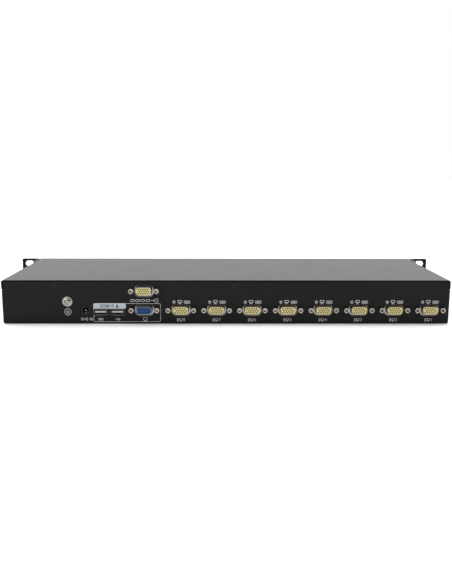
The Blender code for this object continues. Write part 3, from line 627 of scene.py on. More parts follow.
def make_tray(sizes):
    """Bottom and sides as one folded section, and the rear wall with its windows."""
    top_z = BODY_HEIGHT - SHEET - FIT
    outer_right, outer_left = tray_corners(0, top_z)
    inner_right, _ = tray_corners(SHEET, top_z)
    inner_left = [(-u, v, r) for u, v, r in inner_right]
    section = outer_right + inner_right[::-1] + inner_left + outer_left
    solid = Solid("xz")
    span = [(-0.1 * MM, SHEET_FRONT_Y), (0, SHEET_FRONT_Y + 0.1 * MM), (0, WALL_IN_Y - 0.003 * MM)]
    solid.plate((lambda margin=0.0: corner_loop(section, margin), span))

    over_right, over_left = tray_corners(0, top_z + 2 * MM)

    def wall(margin=0.0):
        outline = corner_loop(over_right + over_left, margin)
        outline[:, 1] = np.minimum(outline[:, 1], top_z)
        return outline

    edge = soft_edge(REAR_Y, WALL_IN_Y, sizes.fold_softness * MM, sizes.arc_steps)
    mouth = soft_hole(REAR_Y, WALL_IN_Y, sizes.edge_softness * MM, 3)
    holes = [(d_window_loop(PORTS[name]), mouth) for name in PORT_NAMES]
    for name in PORT_NAMES:
        x, z = PORTS[name]
        for side in (-1, 1):
            holes.append((circle_loop(POST_HOLE_RADIUS, (x + side * JACK_SPACING / 2, z), 16), mouth))
    for number in (1, 2):
        low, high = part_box(f"usb_shell_{number}")
        width, height, centre = face_of(low, high)
        holes.append((box_loop(width + 2 * FIT, height + 2 * FIT, 0.6 * MM, centre), mouth))
    jack = middle_of("dc_jack_pin")
    holes.append((circle_loop(POWER_NOSE_RADIUS + FIT, (jack.x, jack.z), 48), mouth))
    ground = middle_of("ground_screw")
    holes.append((circle_loop(M4_HOLE_RADIUS, (ground.x, ground.z), 24), mouth))
    seat = [(1.1 * MM, REAR_Y), (1.0 * MM, REAR_Y - 0.1 * MM)]
    seat += [(-0.1 * MM, REAR_Y - 1.0 * MM), (-0.1 * MM, WALL_IN_Y)]
    for number in (1, 2, 3):
        screw = middle_of(f"cover_screw_{number}")
        holes.append((circle_loop(COVER_SCREW_HOLE, (screw.x, screw.z), 32), seat))
    solid.plate((wall, edge), holes)
    proud = REAR_Y + 0.04 * MM
    for name in PORT_NAMES:
        bare = [(CUT_EDGE, REAR_Y - 0.1 * MM), (CUT_EDGE, REAR_Y), (CUT_EDGE - 0.1 * MM, proud)]
        bare += [(0.05 * MM, proud), (-0.02 * MM, REAR_Y - 0.05 * MM), (-0.02 * MM, REAR_Y - 0.5 * MM)]
        solid.sweep(d_window_loop(PORTS[name]), bare, look=1, closed=True)
    looks = ["black_powder_coat", "bare_cut_edge"]
    make_piece("tray_with_rear_wall", solid, looks, stands_for=["base_tray"])


def make_cover(sizes):
    """The lid: one sheet folded down at both sides, with three tabs inside for its screws."""
    skirt = COVER[0].z
    top = BODY_HEIGHT
    inner = HALF - SHEET
    section = [(-HALF, skirt, 0), (-inner, skirt, 0), (-inner, top - SHEET, BEND - SHEET)]
    section += [(inner, top - SHEET, BEND - SHEET), (inner, skirt, 0), (HALF, skirt, 0)]
    section += [(HALF, top, BEND), (-HALF, top, BEND)]
    solid = Solid("xz")
    lid = lambda margin=0.0: corner_loop(section, margin, 8)
    ends = soft_edge(COVER[1].y, (COVER[0].y + COVER[1].y) / 2, sizes.lid_softness * MM, sizes.arc_steps)
    solid.plate((lid, ends[:-1] + [(0, COVER[0].y + 0.1 * MM), (-0.1 * MM, COVER[0].y)]))
    for number in (1, 2, 3):
        screw = middle_of(f"cover_screw_{number}")
        tab = box_loop(*COVER_TAB, 0.5 * MM, (screw.x, top - COVER_TAB_DROP))
        hole = circle_loop(1.7 * MM, (screw.x, screw.z), 20)
        span = [(0, WALL_IN_Y - FIT), (0, WALL_IN_Y - FIT - SHEET)]
        solid.plate((tab, span), [(hole, span)])
    make_piece("cover", solid, ["black_powder_coat"], stands_for=["top_cover"])


def middle_of(node):
    low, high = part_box(node)
    return (low + high) / 2


def face_of(low, high):
    """Width, height and middle (x, z) of the box between two corners, as seen from front or rear."""
    return high.x - low.x, high.z - low.z, ((low.x + high.x) / 2, (low.z + high.z) / 2)


def make_front_panel(sizes):
    """The front plate with its button, light and window openings, and the tabs behind it."""
    back = FRONT_Y + PANEL_SHEET
    mouth = soft_hole(FRONT_Y, back, sizes.edge_softness * MM, 3)
    holes = []
    for low, high in BUTTONS:
        middle = (low + high) / 2
        size = (BUTTON_SIZE[0] + 2 * FIT, BUTTON_SIZE[1] + 2 * FIT)
        holes.append((box_loop(*size, 1.5 * MM, (middle.x, middle.z)), mouth))
    for x in LIGHT_XS:
        holes.append((circle_loop(LIGHT_RADIUS + FIT, (x, LIGHT_Z), 20), mouth))
    middle = middle_of("display_window")
    size = (DISPLAY_WINDOW[0] + 2 * FIT, DISPLAY_WINDOW[1] + 2 * FIT)
    holes.append((box_loop(*size, 1.5 * MM, (middle.x, middle.z)), mouth))
    solid = Solid("xz")
    face = box_loop(2 * HALF, BODY_HEIGHT, 0.3 * MM, (0, BODY_HEIGHT / 2))
    solid.plate((face, soft_edge(FRONT_Y, back, sizes.edge_softness * MM, sizes.arc_steps)), holes)
    sides = Solid("yz")
    tab_top, tab_low = COVER[0].z - 1.9 * MM, 3.8 * MM
    tab = box_loop(23.6 * MM, tab_top - tab_low, 2 * MM, (FRONT_Y + 13 * MM, (tab_top + tab_low) / 2))
    for side in (-1, 1):
        near = side * (HALF - 2 * SHEET - 2 * FIT)
        sides.plate((tab, [(0, near), (0, near - side * PANEL_SHEET)]))
    solid.take(sides)
    make_piece("front_plate", solid, ["black_powder_coat"], stands_for=["front_panel"])


def make_ears(sizes):
    """Two angle brackets, each a slotted plate bent round one corner.

    A point (s, z, t) of the flat plate goes along the face, round an arc, and along the side flange.
    """
    radius = EAR_BEND
    for side, name in EARS:
        low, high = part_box(name)
        near = min(abs(low.x), abs(high.x))
        tip = max(abs(low.x), abs(high.x))
        depth = high.y - low.y
        face = tip - near - radius
        arc = (radius - EAR_SHEET / 2) * math.pi / 2
        length = face + arc + depth - radius
        seams = [face + arc * k / sizes.arc_steps for k in range(sizes.arc_steps + 1)]

        def bent(local, side=side, near=near, low=low, face=face, arc=arc, tip=tip):
            s, z, t = local[..., 0], local[..., 1], local[..., 2]
            turn = np.clip((s - face) / arc, 0, 1) * math.pi / 2
            spoke = radius - t
            centre = np.array([near + radius, low.y + radius])
            along = np.minimum(s, face)
            x = np.where(s < face, tip - along, centre[0] - spoke * np.sin(turn))
            y = centre[1] - spoke * np.cos(turn) + np.maximum(s - face - arc, 0)
            return np.stack([side * x, y, z], -1)

        corners = [(0, 0, EAR_CORNER)] + [(s, 0, 0) for s in seams] + [(length, 0, EAR_FLANGE_CORNER)]
        corners += [(length, BODY_HEIGHT, EAR_FLANGE_CORNER)] + [(s, BODY_HEIGHT, 0) for s in seams[::-1]]
        corners += [(0, BODY_HEIGHT, EAR_CORNER)]
        outline = lambda margin=0.0, corners=corners: corner_loop(corners, margin)
        soft = sizes.edge_softness * MM
        near_side = soft_edge(0, EAR_SHEET / 2, soft, 3)[:-1]
        both = near_side + [(margin, EAR_SHEET - depth) for margin, depth in near_side[::-1]]
        hole = [(-m, w) for m, w in both]
        slots = []
        for z in (BODY_HEIGHT / 2 - SLOT_FROM_MIDDLE, BODY_HEIGHT / 2 + SLOT_FROM_MIDDLE):
            slots.append((box_loop(*SLOT_SIZE, SLOT_CORNER, (SLOT_FROM_TIP, z), 10), hole))
        for row in ("lower", "upper"):
            screw = middle_of(f"{name}_screw_{row}")
            s = face + arc + screw.y - low.y - radius
            slots.append((circle_loop(M4_HOLE_RADIUS, (s, screw.z), 24), hole))
        solid = Solid()
        solid.plate((outline, both), slots, seams=seams, mapping=bent)
        make_piece(f"{name}_bracket", solid, ["black_powder_coat"], stands_for=[name])


# ---------------------------------------------------------------- connectors


def make_shell(name, sizes):
    """A drawn D shell: flange, root curve, wall, rolled rim and inner wall as one skin, with its holes."""
    x, z = PORTS[name]
    front = FLANGE_BACK_Y + FLANGE_SHEET
    wall, root, rim = sizes.shell_wall * MM, sizes.shell_root * MM, 0.3 * MM
    turn = np.linspace(0, math.pi / 2, 7)
    skin = [(root * (1 - math.sin(a)), front + root * (1 - math.cos(a))) for a in turn]
    skin += [(-rim * (1 - math.cos(a)), RIM_Y - rim + rim * math.sin(a)) for a in turn]
    skin += [(-wall, RIM_Y - 0.1 * MM), (-wall, FLANGE_BACK_Y)]
    edge = soft_edge(front, FLANGE_BACK_Y, 0.25 * MM, 3)
    hole = [(0, front), (0, FLANGE_BACK_Y)]
    holes = [(d_loop((x, z)), skin)]
    for side in (-1, 1):
        holes.append((circle_loop(1.45 * MM, (x + side * JACK_SPACING / 2, z), 20), hole))
    solid = Solid("xz")
    solid.plate((box_loop(*FLANGE_SIZE, 1.6 * MM, (x, z)), edge), holes)
    make_piece(f"d_shell_{name}", solid, ["nickel_plate"], stands_for=[f"vga_shell_{name}"])


def make_posts(name):
    """Two jack posts: radius = min(hexagon, chamfer cone) outside, and a threaded bore inside.

    A hexagon's radius is a / cos(t mod 60 deg - 30 deg), and the thread's is
    bore - depth * triangle(h / pitch - t / 360 deg).
    """
    x, z = PORTS[name]
    around = 36
    turn = np.arange(around) * 2 * np.pi / around
    flat = JACK_HEX / 2
    hexagon = flat / np.cos(np.mod(turn, np.pi / 3) - np.pi / 6)
    solid = Solid("xz")
    for side in (-1, 1):
        rings = []
        root = FLANGE_BACK_Y - 1.5 * MM
        for depth in (root, REAR_Y + 0.02 * MM):
            rings.append((np.full(around, POST_SHANK), np.full(around, depth)))
        for step in (0.0, 0.12, 0.24, 0.36):
            cone = flat + (0.05 + step) * MM
            rings.append((np.minimum(hexagon, cone), np.full(around, REAR_Y + (0.02 + step) * MM)))
        top = REAR_Y + JACK_PROUD
        for step in (0.40, 0.27, 0.14, 0.0):
            cone = flat + (1.3 * step - 0.15) * MM
            rings.append((np.minimum(hexagon, cone), np.full(around, top - step * MM)))
        rings.append((np.full(around, JACK_BORE + 0.3 * MM), np.full(around, top)))
        for depth in np.arange(0.3, 4.2, 0.16) * MM:
            tooth = np.abs(np.mod(depth / THREAD_PITCH - turn / (2 * np.pi), 1) - 0.5) * 2
            rings.append((JACK_BORE - 0.22 * MM * tooth, np.full(around, top - depth)))
        radius = np.array([ring[0] for ring in rings])
        depth = np.array([ring[1] for ring in rings])
        u = x + side * JACK_SPACING / 2 + radius * np.cos(turn)
        v = z + radius * np.sin(turn)
        solid.grid(np.stack([u, v, depth], -1))
    make_piece(f"jack_posts_{name}", solid, ["nickel_plate"])


def make_insert(name, sizes):
    """The moulded insert: its face just inside the rim, with three staggered rows of five contact holes, each
    lined with a near-black sleeve as painted shade.
    """
    x, z = PORTS[name]
    colour = "blue_plastic" if name == "console" else "cream_plastic"
    face = RIM_Y - sizes.insert_recess * MM
    gap = -(sizes.shell_wall + 0.02) * MM
    back = FLANGE_BACK_Y - FIT
    outer = [(gap + m, w) for m, w in soft_edge(face, back, 0.2 * MM, 3)]
    lead = [(0.18 * MM, face), (0.14 * MM, face - 0.06 * MM), (0.12 * MM, face - 0.1 * MM)]
    bore = lead + [(0.12 * MM, face - PIN_HOLE_DEPTH)]
    # A near-black sleeve in each hole: painted shade in the holes.
    contact = [(0.06 * MM, face - 0.35 * MM), (0.1 * MM, face - 0.4 * MM)]
    contact += [(0.1 * MM, face - PIN_HOLE_DEPTH + 0.1 * MM)]
    holes, middles = [], []
    for row in range(3):
        stagger = (-0.5 if row == 1 else 0.0) * PIN_PITCH + 0.25 * PIN_PITCH
        for column in range(5):
            centre = (x + (column - 2) * PIN_PITCH + stagger, z + (row - 1) * PIN_ROW_PITCH)
            holes.append((circle_loop(PIN_HOLE, centre, 14), bore, True))
            middles.append(centre)
    solid = Solid("xz")
    solid.plate((d_loop((x, z)), outer), holes)
    for centre in middles:
        solid.sweep(circle_loop(PIN_HOLE, centre, 14), contact, look=1)
    low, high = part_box(f"vga_insert_{name}")
    block = Solid("yz")
    for (start, end), (bottom, top) in block_parts(name, low, high, back):
        centre = ((start + end) / 2, (bottom + top) / 2)
        loop = box_loop(end - start, top - bottom, 0.4 * MM, centre, 3)
        block.plate((loop, [(0, low.x), (0, high.x)]))
    solid.take(block)
    make_piece(f"d_insert_{name}", solid, [colour, "contact_painted_shade"], stands_for=[f"vga_insert_{name}"])


def block_parts(name, low, high, front):
    """((y from, y to), (z from, z to)) of the moulded blocks behind the flange."""
    if name != "daisy":
        return [((low.y, front), (low.z, high.z))]
    shelf = PORTS[name][1] - FLANGE_SIZE[1] / 2
    step = low.y + 9.0 * MM
    return [((low.y, front), (shelf, high.z)), ((low.y, step), (low.z, shelf + 0.5 * MM))]


def make_usb(number):
    """A USB socket: a folded shell with flared lips and spring leaves, its tongue and four contacts."""
    low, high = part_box(f"usb_shell_{number}")
    width, height, centre = face_of(low, high)
    mouth = high.y
    skin = [(0, low.y), (0, mouth - 0.7 * MM), (USB_FLARE * 0.5, mouth - 0.3 * MM)]
    skin += [(USB_FLARE, mouth - 0.05 * MM), (USB_FLARE - 0.1 * MM, mouth)]
    skin += [(-USB_WALL * 0.4, mouth - 0.15 * MM), (-USB_WALL, mouth - 0.6 * MM), (-USB_WALL, low.y)]
    solid = Solid("xz")
    solid.sweep(box_loop(width, height, 0.7 * MM, centre), skin, closed=True)
    for side in (-1, 1):
        leaf_z = centre[1] + side * (height / 2 - USB_WALL - 0.35 * MM)
        for offset in (-3.2 * MM, 3.2 * MM):
            leaf = box_loop(2.4 * MM, 0.25 * MM, 0.05 * MM, (centre[0] + offset, leaf_z), 2)
            solid.plate((leaf, [(0, mouth - 1.6 * MM), (0, mouth - 8 * MM)]))
    make_piece(f"usb_socket_shell_{number}", solid, ["tinned_steel"], stands_for=[f"usb_shell_{number}"])

    low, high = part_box(f"usb_tongue_{number}")
    tongue_z = centre[1] + USB_TONGUE_RISE
    blade = box_loop(*USB_TONGUE, 0.25 * MM, (centre[0], tongue_z), 3)
    solid = Solid("xz")
    solid.plate((blade, soft_edge(high.y, low.y, 0.25 * MM, 3)))
    room = 2 * USB_WALL + FIT
    base = box_loop(width - room, height - room, 0.3 * MM, centre, 3)
    solid.plate((base, [(0, low.y), (0, low.y + USB_BASE_DEPTH)]), look=2)
    # Four contacts in the near-black contact material: painted shade on the tongue's underside.
    for column in range(4):
        x = centre[0] + (column - 1.5) * USB_CONTACT_PITCH
        contact = box_loop(1.1 * MM, 0.2 * MM, 0.04 * MM, (x, tongue_z - 0.80 * MM), 2)
        solid.plate((contact, [(0, high.y - 1.2 * MM), (0, low.y + 5.0 * MM)]), look=1)
    looks = ["white_plastic", "contact_painted_shade", "black_plastic"]
    make_piece(f"usb_contact_tongue_{number}", solid, looks, stands_for=[f"usb_tongue_{number}"])


def make_power_socket():
    """The round power socket: a nose with a broken edge, a stepped bore, a pin and a spring contact."""
    jack = middle_of("dc_jack_pin")
    low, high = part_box("dc_jack_body")
    width, height, middle = face_of(low, high)
    centre = (jack.x, jack.z)
    solid = Solid("xz")
    nose = soft_edge(high.y, low.y + 0.5 * MM, 0.4 * MM)
    bore = [(0.9 * MM, high.y), (0.55 * MM, high.y - 0.25 * MM), (0.5 * MM, high.y - 0.8 * MM)]
    bore += [(0, high.y - 0.85 * MM), (0, high.y - POWER_BORE_DEPTH)]
    opening = (circle_loop(POWER_BORE_RADIUS, centre, 40), bore, True)
    solid.plate((circle_loop(POWER_NOSE_RADIUS, centre, 48), nose), [opening])
    span = [(0, low.y), (0, WALL_IN_Y - FIT)]
    passage = (circle_loop(3.6 * MM, centre, 40), span)
    solid.plate((box_loop(width, height, 0.5 * MM, middle, 3), span), [passage])
    make_piece("power_socket", solid, ["black_plastic"], stands_for=["dc_jack_body"])

    pin = Solid("xz")
    tip = high.y - 0.6 * MM
    profile = [(0.25 * MM, tip + 0.02 * MM), (0.7 * MM, tip - 0.1 * MM), (0.97 * MM, tip - 0.5 * MM)]
    profile += [(POWER_PIN_RADIUS, tip - 1.0 * MM), (POWER_PIN_RADIUS, low.y + 0.1 * MM)]
    pin.turned(profile, (jack.x, jack.z, 0), steps=24)
    leaf = box_loop(1.6 * MM, 0.3 * MM, 0.08 * MM, (centre[0], centre[1] - 2.55 * MM), 3)
    pin.plate((leaf, [(0, high.y - 1.6 * MM), (0, high.y - 9 * MM)]))
    make_piece("power_socket_contacts", pin, ["nickel_plate"], stands_for=["dc_jack_pin"])


# ---------------------------------------------------------------- screws


def cross_depth(u, v, reach, width, depth):
    """How far a crossed recess sinks at (u, v): full depth in either arm, fading over a narrow slope."""

    def arm(across, along):
        inside = np.clip((width / 2 - np.abs(across)) / (0.12 * width) + 1, 0, 1)
        return inside * np.clip((reach - np.abs(along)) / (0.25 * reach), 0, 1)

    return -depth * np.maximum(arm(u, v), arm(v, u))


def screw_head(solid, profile, seat, recess, side=1.0):
    """A screw from (radius, height) points, from the middle of the head's top, with the cross sunk in.

    recess is (reach, width, depth); seat is where height 0 lies, and side is which way the head stands.
    """
    steps = 56
    turn = np.arange(steps) * 2 * np.pi / steps + np.pi / 8
    r, h = np.array(profile).T
    u = r[:, None] * np.cos(turn)
    v = r[:, None] * np.sin(turn)
    w = h[:, None] + np.where((np.gradient(r) > 0)[:, None], cross_depth(u, v, *recess), 0)
    solid.grid(np.stack([u + seat[0], v + seat[1], seat[2] + side * w], -1))


def pan_profile(radius, height, shank, length):
    """A pan head: height * (1 - 0.45 * share ** 2.8) up to its rim, a short side, and its shank."""
    share = np.linspace(0.02, 1, 22)
    dome = [(radius * k, height * (1 - 0.45 * k**2.8)) for k in share]
    return dome + [(radius, height * 0.2), (radius * 0.97, 0.0), (shank, 0.0), (shank, -length)]


def flat_profile(radius, shank, length):
    """A countersunk head: a slightly raised face, a narrow rim and a cone to the shank."""
    share = np.linspace(0.02, 1, 18)
    face = [(radius * k, 0.12 * MM * (1 - k * k)) for k in share]
    return face + [(radius, -0.15 * MM), (shank, -0.15 * MM - (radius - shank)), (shank, -length)]


def make_earth_screw():
    """The pan head earth screw and its washer."""
    ground = middle_of("ground_screw")
    low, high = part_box("ground_washer")
    washer = Solid("xz")
    ring = circle_loop((high.x - low.x) / 2, (ground.x, ground.z), 56)
    hole = circle_loop(M4_HOLE_RADIUS, (ground.x, ground.z), 32)
    outside = soft_edge(high.y, low.y, 0.15 * MM)
    washer.plate((ring, outside), [(hole, soft_hole(high.y, low.y, 0.1 * MM, 2))])
    make_piece("earth_washer", washer, ["nickel_plate"], stands_for=["ground_washer"])

    low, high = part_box("ground_screw")
    head = Solid("xz")
    radius, height, shank = EARTH_SCREW
    profile = pan_profile(radius, height, shank, high.y - low.y - height)
    seat = (ground.x, ground.z, high.y - height)
    screw_head(head, profile, seat, (2.4 * MM, 1.1 * MM, 1.5 * MM))
    make_piece("earth_screw", head, ["nickel_plate"], stands_for=["ground_screw"], crease=50)


def make_cover_screws():
    """Three countersunk screws that hold the lid's tabs to the rear wall."""
    for number in (1, 2, 3):
        node = f"cover_screw_{number}"
        low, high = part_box(node)
        middle = middle_of(node)
        flat = Solid("xz")
        profile = flat_profile(COVER_SCREW_RADIUS, COVER_SCREW_SHANK, high.y - low.y)
        seat = (middle.x, middle.z, high.y - 0.1 * MM)
        screw_head(flat, profile, seat, (1.6 * MM, 0.75 * MM, 0.9 * MM))
        make_piece(f"cover_flat_screw_{number}", flat, ["black_screw"], stands_for=[node], crease=50)


def make_ear_screws():
    """Two low pan head screws through each ear's side flange."""
    radius, height, shank = EAR_SCREW
    for side, ear in EARS:
        for row in ("lower", "upper"):
            node = f"{ear}_screw_{row}"
            low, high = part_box(node)
            middle = middle_of(node)
            outer = max(abs(low.x), abs(high.x))
            profile = pan_profile(radius, height, shank, high.x - low.x - height)
            head = Solid("yz")
            seat = (middle.y, middle.z, side * (outer - height))
            screw_head(head, profile, seat, (2.2 * MM, 1.0 * MM, 1.0 * MM), side)
            make_piece(f"{node}_head", head, ["black_screw"], stands_for=[node], crease=50)


# ---------------------------------------------------------------- printing


class Print:
    """Thin prints on a wall, drawn in millimetres to the reader's right and up from a point."""

    def __init__(self, wall, facing, ink):
        self.solid = Solid("xz")
        self.across = -facing
        self.ink = facing * ink
        self.wall = wall
        self.lift = 0
        self.at(0, 0)

    def at(self, x, z):
        self.x, self.z = x, z
        return self

    def area(self, points, hole=None, look=0):
        """A closed shape, with one hole if a second loop is given."""
        near = self.wall + self.ink * (1 + self.lift)
        profile = [(0, near), (0, self.wall - self.ink * 0.3)]
        outer, *inner = [self.placed(loop) for loop in (points, hole) if loop is not None]
        holes = [(lambda margin: inner[0], profile)] if inner else []
        self.solid.plate((lambda margin: outer, profile), holes, look)

    def placed(self, loop):
        loop = np.asarray(loop, float) * MM
        return np.stack([self.x + self.across * loop[:, 0], self.z + loop[:, 1]], 1)

    def box(self, x, z, width, height, radius=0.0, line=0.0, look=0):
        """A filled rectangle, or with line only its frame."""
        outer = box_loop(width, height, radius, (x, z), 4)()
        inner = None
        if line:
            inner = box_loop(width - 2 * line, height - 2 * line, max(radius - line, 0), (x, z), 4)()
        self.area(outer, inner, look)

    def disc(self, x, z, radius, line=0.0, look=0):
        """A filled disc, or with line only its ring."""
        inner = circle_loop(radius - line, (x, z), 28)() if line else None
        self.area(circle_loop(radius, (x, z), 28)(), inner, look)

    def stroke(self, path, line, look=0):
        """An open path of constant width: each point moves half of it along the two sides' mean normal."""
        path = np.array(path, float)
        step = np.diff(path, axis=0)
        step /= np.linalg.norm(step, axis=1, keepdims=True)
        side = np.stack([-step[:, 1], step[:, 0]], 1)
        before = np.vstack([side[:1], side])
        after = np.vstack([side, side[-1:]])
        move = (before + after) / (1 + (before * after).sum(1, keepdims=True)) * line / 2
        self.area(np.vstack([path + move, (path - move)[::-1]]), None, look)

    def arc(self, x, z, radius, start, end, line, look=0):
        turn = np.radians(np.linspace(start, end, 20))
        self.stroke(np.stack([x + radius * np.cos(turn), z + radius * np.sin(turn)], 1), line, look)

    def numeral(self, digit, x, z, height, look=0):
        """A plain numeral made a mesh, its middle at (x, z)."""
        curve = bpy.data.curves.new("numeral", "FONT")
        curve.body = str(digit)
        curve.align_x = "CENTER"
        curve.align_y = "CENTER"
        curve.size = height * 1.38
        curve.extrude = 0.5
        curve.resolution_u = 3
        made = bpy.data.objects.new("numeral", curve)
        mesh = bpy.data.meshes.new_from_object(made)
        points = np.empty(len(mesh.vertices) * 3)
        mesh.vertices.foreach_get("co", points)
        points = points.reshape(-1, 3)
        faces = [list(polygon.vertices) for polygon in mesh.polygons]
        flat = self.placed(points[:, :2] + (x, z))
        depth = self.wall + self.ink * (0.35 + self.lift / 2 + points[:, 2] * (1.3 + self.lift))
        self.solid.add(np.column_stack([flat, depth]), [[face] for face in faces], look)
        bpy.data.objects.remove(made)
        bpy.data.meshes.remove(mesh)
        bpy.data.curves.remove(curve)

    def screen(self, x, z, width, height, line=0.4, look=0):
        """A monitor on its foot."""
        foot = height * 0.16
        self.box(x, z + foot, width, height - 2 * foot, 0.12 * width, line, look)
        self.box(x, z - height / 2 + 1.45 * foot, width * 0.22, foot * 1.1, 0, 0, look)
        self.box(x, z - height / 2 + 0.45 * foot, width * 0.62, foot * 0.9, 0.1, 0, look)

    def mouse(self, x, z, width, height, line=0.35, look=0):
        """A mouse from above: its outline, its two buttons' line and its wheel."""
        self.box(x, z, width, height, width * 0.47, line, look)
        self.box(x, z + height * 0.08, width - 2 * line - 0.02, line * 0.8, 0, 0, look)
        self.box(x, z + height * 0.27, line * 0.8, height * 0.24, 0, 0, look)

    def keyboard(self, x, z, width, height, line=0.28, look=0):
        """A keyboard: its frame, two rows of keys and a long key."""
        self.box(x, z, width, height, 0.3, line, look)
        columns = max(4, round((width - 2 * line) / 0.72))
        pitch = (width - 2 * line - 0.25) / columns
        key = pitch * 0.68
        rows = (height - 2 * line - 0.2) / 3
        for row in (1, 0):
            for column in range(columns):
                place = x + (column - (columns - 1) / 2) * pitch
                self.box(place, z + row * rows, key, rows * 0.7, 0, 0, look)
        self.box(x, z - rows, width * 0.5, rows * 0.7, 0, 0, look)

    def tower(self, x, z, width, height, line=0.3, look=0):
        """A computer's case: its frame, a slot and a key."""
        self.box(x, z, width, height, 0.2, line, look)
        self.box(x, z + height * 0.22, width * 0.42, line, 0, 0, look)
        self.box(x, z - height * 0.22, line * 1.2, line * 1.2, 0, 0, look)


def rounded_path(points, radius):
    """An open path whose inner corners are turned by arcs of that radius."""
    points = np.array(points, float)
    path = [points[0]]
    for before, here, after in zip(points, points[1:], points[2:]):
        start = here + (before - here) / np.linalg.norm(before - here) * radius
        end = here + (after - here) / np.linalg.norm(after - here) * radius
        share = np.linspace(0, 1, 6)[:, None]
        path += list((1 - share) ** 2 * start + 2 * share * (1 - share) * here + share**2 * end)
    return path + [points[-1]]


def print_port_signs(rear):
    """A mouse, a screen and a keyboard over each port; a computer, a screen and its numeral under it."""
    for number in range(1, 9):
        x = PORTS[f"port_{number}"][0]
        rear.at(x, 21.8 * MM)
        rear.mouse(-6.8, 0, 2.7, 3.1, 0.55)
        rear.screen(-1.2, 0.1, 4.3, 3.9, 0.6)
        rear.keyboard(5.9, 0, 5.9, 2.9, 0.4)
        rear.at(x, 4.0 * MM)
        rear.tower(-3.1, 0, 1.7, 3.1, 0.4)
        rear.screen(-0.2, -0.05, 3.2, 3.0, 0.42)
        rear.numeral(number, 3.0, 0, 3.1)


def print_chain_sign(rear):
    """A chain of four links and an arrow into a bracket, under the chain port."""
    rear.at(PORTS["daisy"][0], 23.5 * MM)
    pitch = 5.0
    for number in range(4):
        rear.box(-11.4 + pitch * number, 0, 4.2, 2.6, 1.25, 0.55)
    for number in range(3):
        rear.box(-8.9 + pitch * number, 0, 0.7, 0.5)
    rear.stroke([(6.4, 0), (9.3, 0)], 0.5)
    rear.area([(9.35, -1.1), (11.1, 0), (9.35, 1.1)])
    rear.stroke([(10.6, -1.5), (13.3, -1.5), (13.3, 1.5), (10.6, 1.5)], 0.5)


def print_console_frame(rear):
    """The frame round the console's sockets and its light tab with the signs of what plugs in there."""
    rear.at(PORTS["console"][0], 4.2 * MM)
    rear.screen(0.8, 0.1, 4.4, 4.3, 0.45)
    rear.at(0, 0)
    left, right, low, high = -130.7, -65.2, 2.2, 20.45
    frame_path = [(-98.9, high), (right, high), (right, low), (left, low), (left, 15.15)]
    rear.stroke(rounded_path(frame_path, 1.4), 0.42)
    left, right, low, high = -131.0, -99.1, 15.2, 20.75
    tab = [(left, low), (right - 1.2, low), (right, low + 1.2), (right, high), (left + 1.6, high)]
    tab += [(left + 0.6, high - 0.35), (left, high - 1.4)]
    rear.area(tab, None, 1)
    rear.lift = 0.6
    rear.at(115.1 * MM, 18.0 * MM)
    rear.screen(-7.6, 0, 3.6, 3.3, 0.45, 2)
    rear.keyboard(-2.2, 0, 5.6, 2.9, 0.32, 2)
    rear.mouse(3.0, 0, 2.4, 3.1, 0.4, 2)
    rear.disc(7.4, 0.85, 0.75, 0, 2)
    shoulders = [(5.8, -1.5), (9.0, -1.5), (8.7, -0.5), (8.0, -0.02), (6.8, -0.02), (6.1, -0.5)]
    rear.area(shoulders, None, 2)
    rear.lift = 0


def print_socket_signs(rear):
    """A mouse on its lead and a keyboard under the USB sockets, and the polarity under the power socket."""
    rear.at(middle_of("usb_shell_1").x, 4.6 * MM)
    rear.box(1.2, 0, 2.8, 1.9, 0.9, 0.45)
    rear.stroke([(-0.25, 0), (-1.2, 0), (-1.8, 0.35), (-2.7, 0.35)], 0.35)
    rear.at(middle_of("usb_shell_2").x, 4.6 * MM)
    rear.keyboard(0, 0, 5.2, 2.2, 0.26)
    rear.at(137.6 * MM, 4.8 * MM)
    for side in (-1, 1):
        rear.disc(4.4 * side, 0, 1.45, 0.4)
        rear.box(4.4 * side, 0, 1.3, 0.38)
        rear.stroke([(1.75 * side, 0), (2.9 * side, 0)], 0.4)
    for up in (0.44, -0.44):
        rear.box(4.4, up, 0.38, 0.48)
    rear.arc(0, 0, 1.35, 40, 320, 0.4)
    rear.disc(0, 0, 0.6)


def print_earth_sign(rear):
    """The earth sign in its ring, under the earth screw."""
    rear.at(middle_of("ground_screw").x, 12.1 * MM)
    rear.disc(0, 0, 3.45, 0.5)
    rear.box(0, 1.35, 0.5, 1.9)
    for up, width in ((0.1, 3.9), (-0.85, 2.6), (-1.75, 1.3)):
        rear.box(0, up, width, 0.5)


def print_rear(sizes):
    """All the rear wall's prints, as one piece."""
    rear = Print(REAR_Y, 1, sizes.ink * MM)
    print_port_signs(rear)
    print_chain_sign(rear)
    print_console_frame(rear)
    print_socket_signs(rear)
    print_earth_sign(rear)
    make_piece("rear_prints", rear.solid, ["white_ink", "tab_ink", "dark_ink"])


def print_front(sizes):
    """The front plate's prints: a bracket under each pair of lights, and signs for lights and window."""
    front = Print(FRONT_Y, -1, sizes.ink * MM)
    for x in BUTTON_XS:
        front.at(x, 36.3 * MM)
        front.tower(-3.5, 0, 1.5, 2.6, 0.3)
        front.arc(3.5, 0, 1.1, 120, 420, 0.3)
        front.at(x, 26.4 * MM)
        bracket = [(-4.9, 2.2), (-4.9, 0.6), (0, 0.6), (4.9, 0.6), (4.9, 2.2)]
        front.stroke(rounded_path(bracket, 0.5), 0.25)
    front.at(LIGHT_XS[-1], 36.3 * MM)
    front.arc(0, 0, 1.2, 125, 415, 0.35)
    front.box(0, 0.95, 0.35, 1.3)
    window = middle_of("display_window")
    front.at(window.x, window.z)
    front.box(0, 0, 28.5, 19.0, 2.0, 0.3)
    front.at(window.x, 38.2 * MM)
    front.screen(0, 0, 3.4, 3.0, 0.35)
    make_piece("front_prints", front.solid, ["white_ink"])


# ---------------------------------------------------------------- front controls


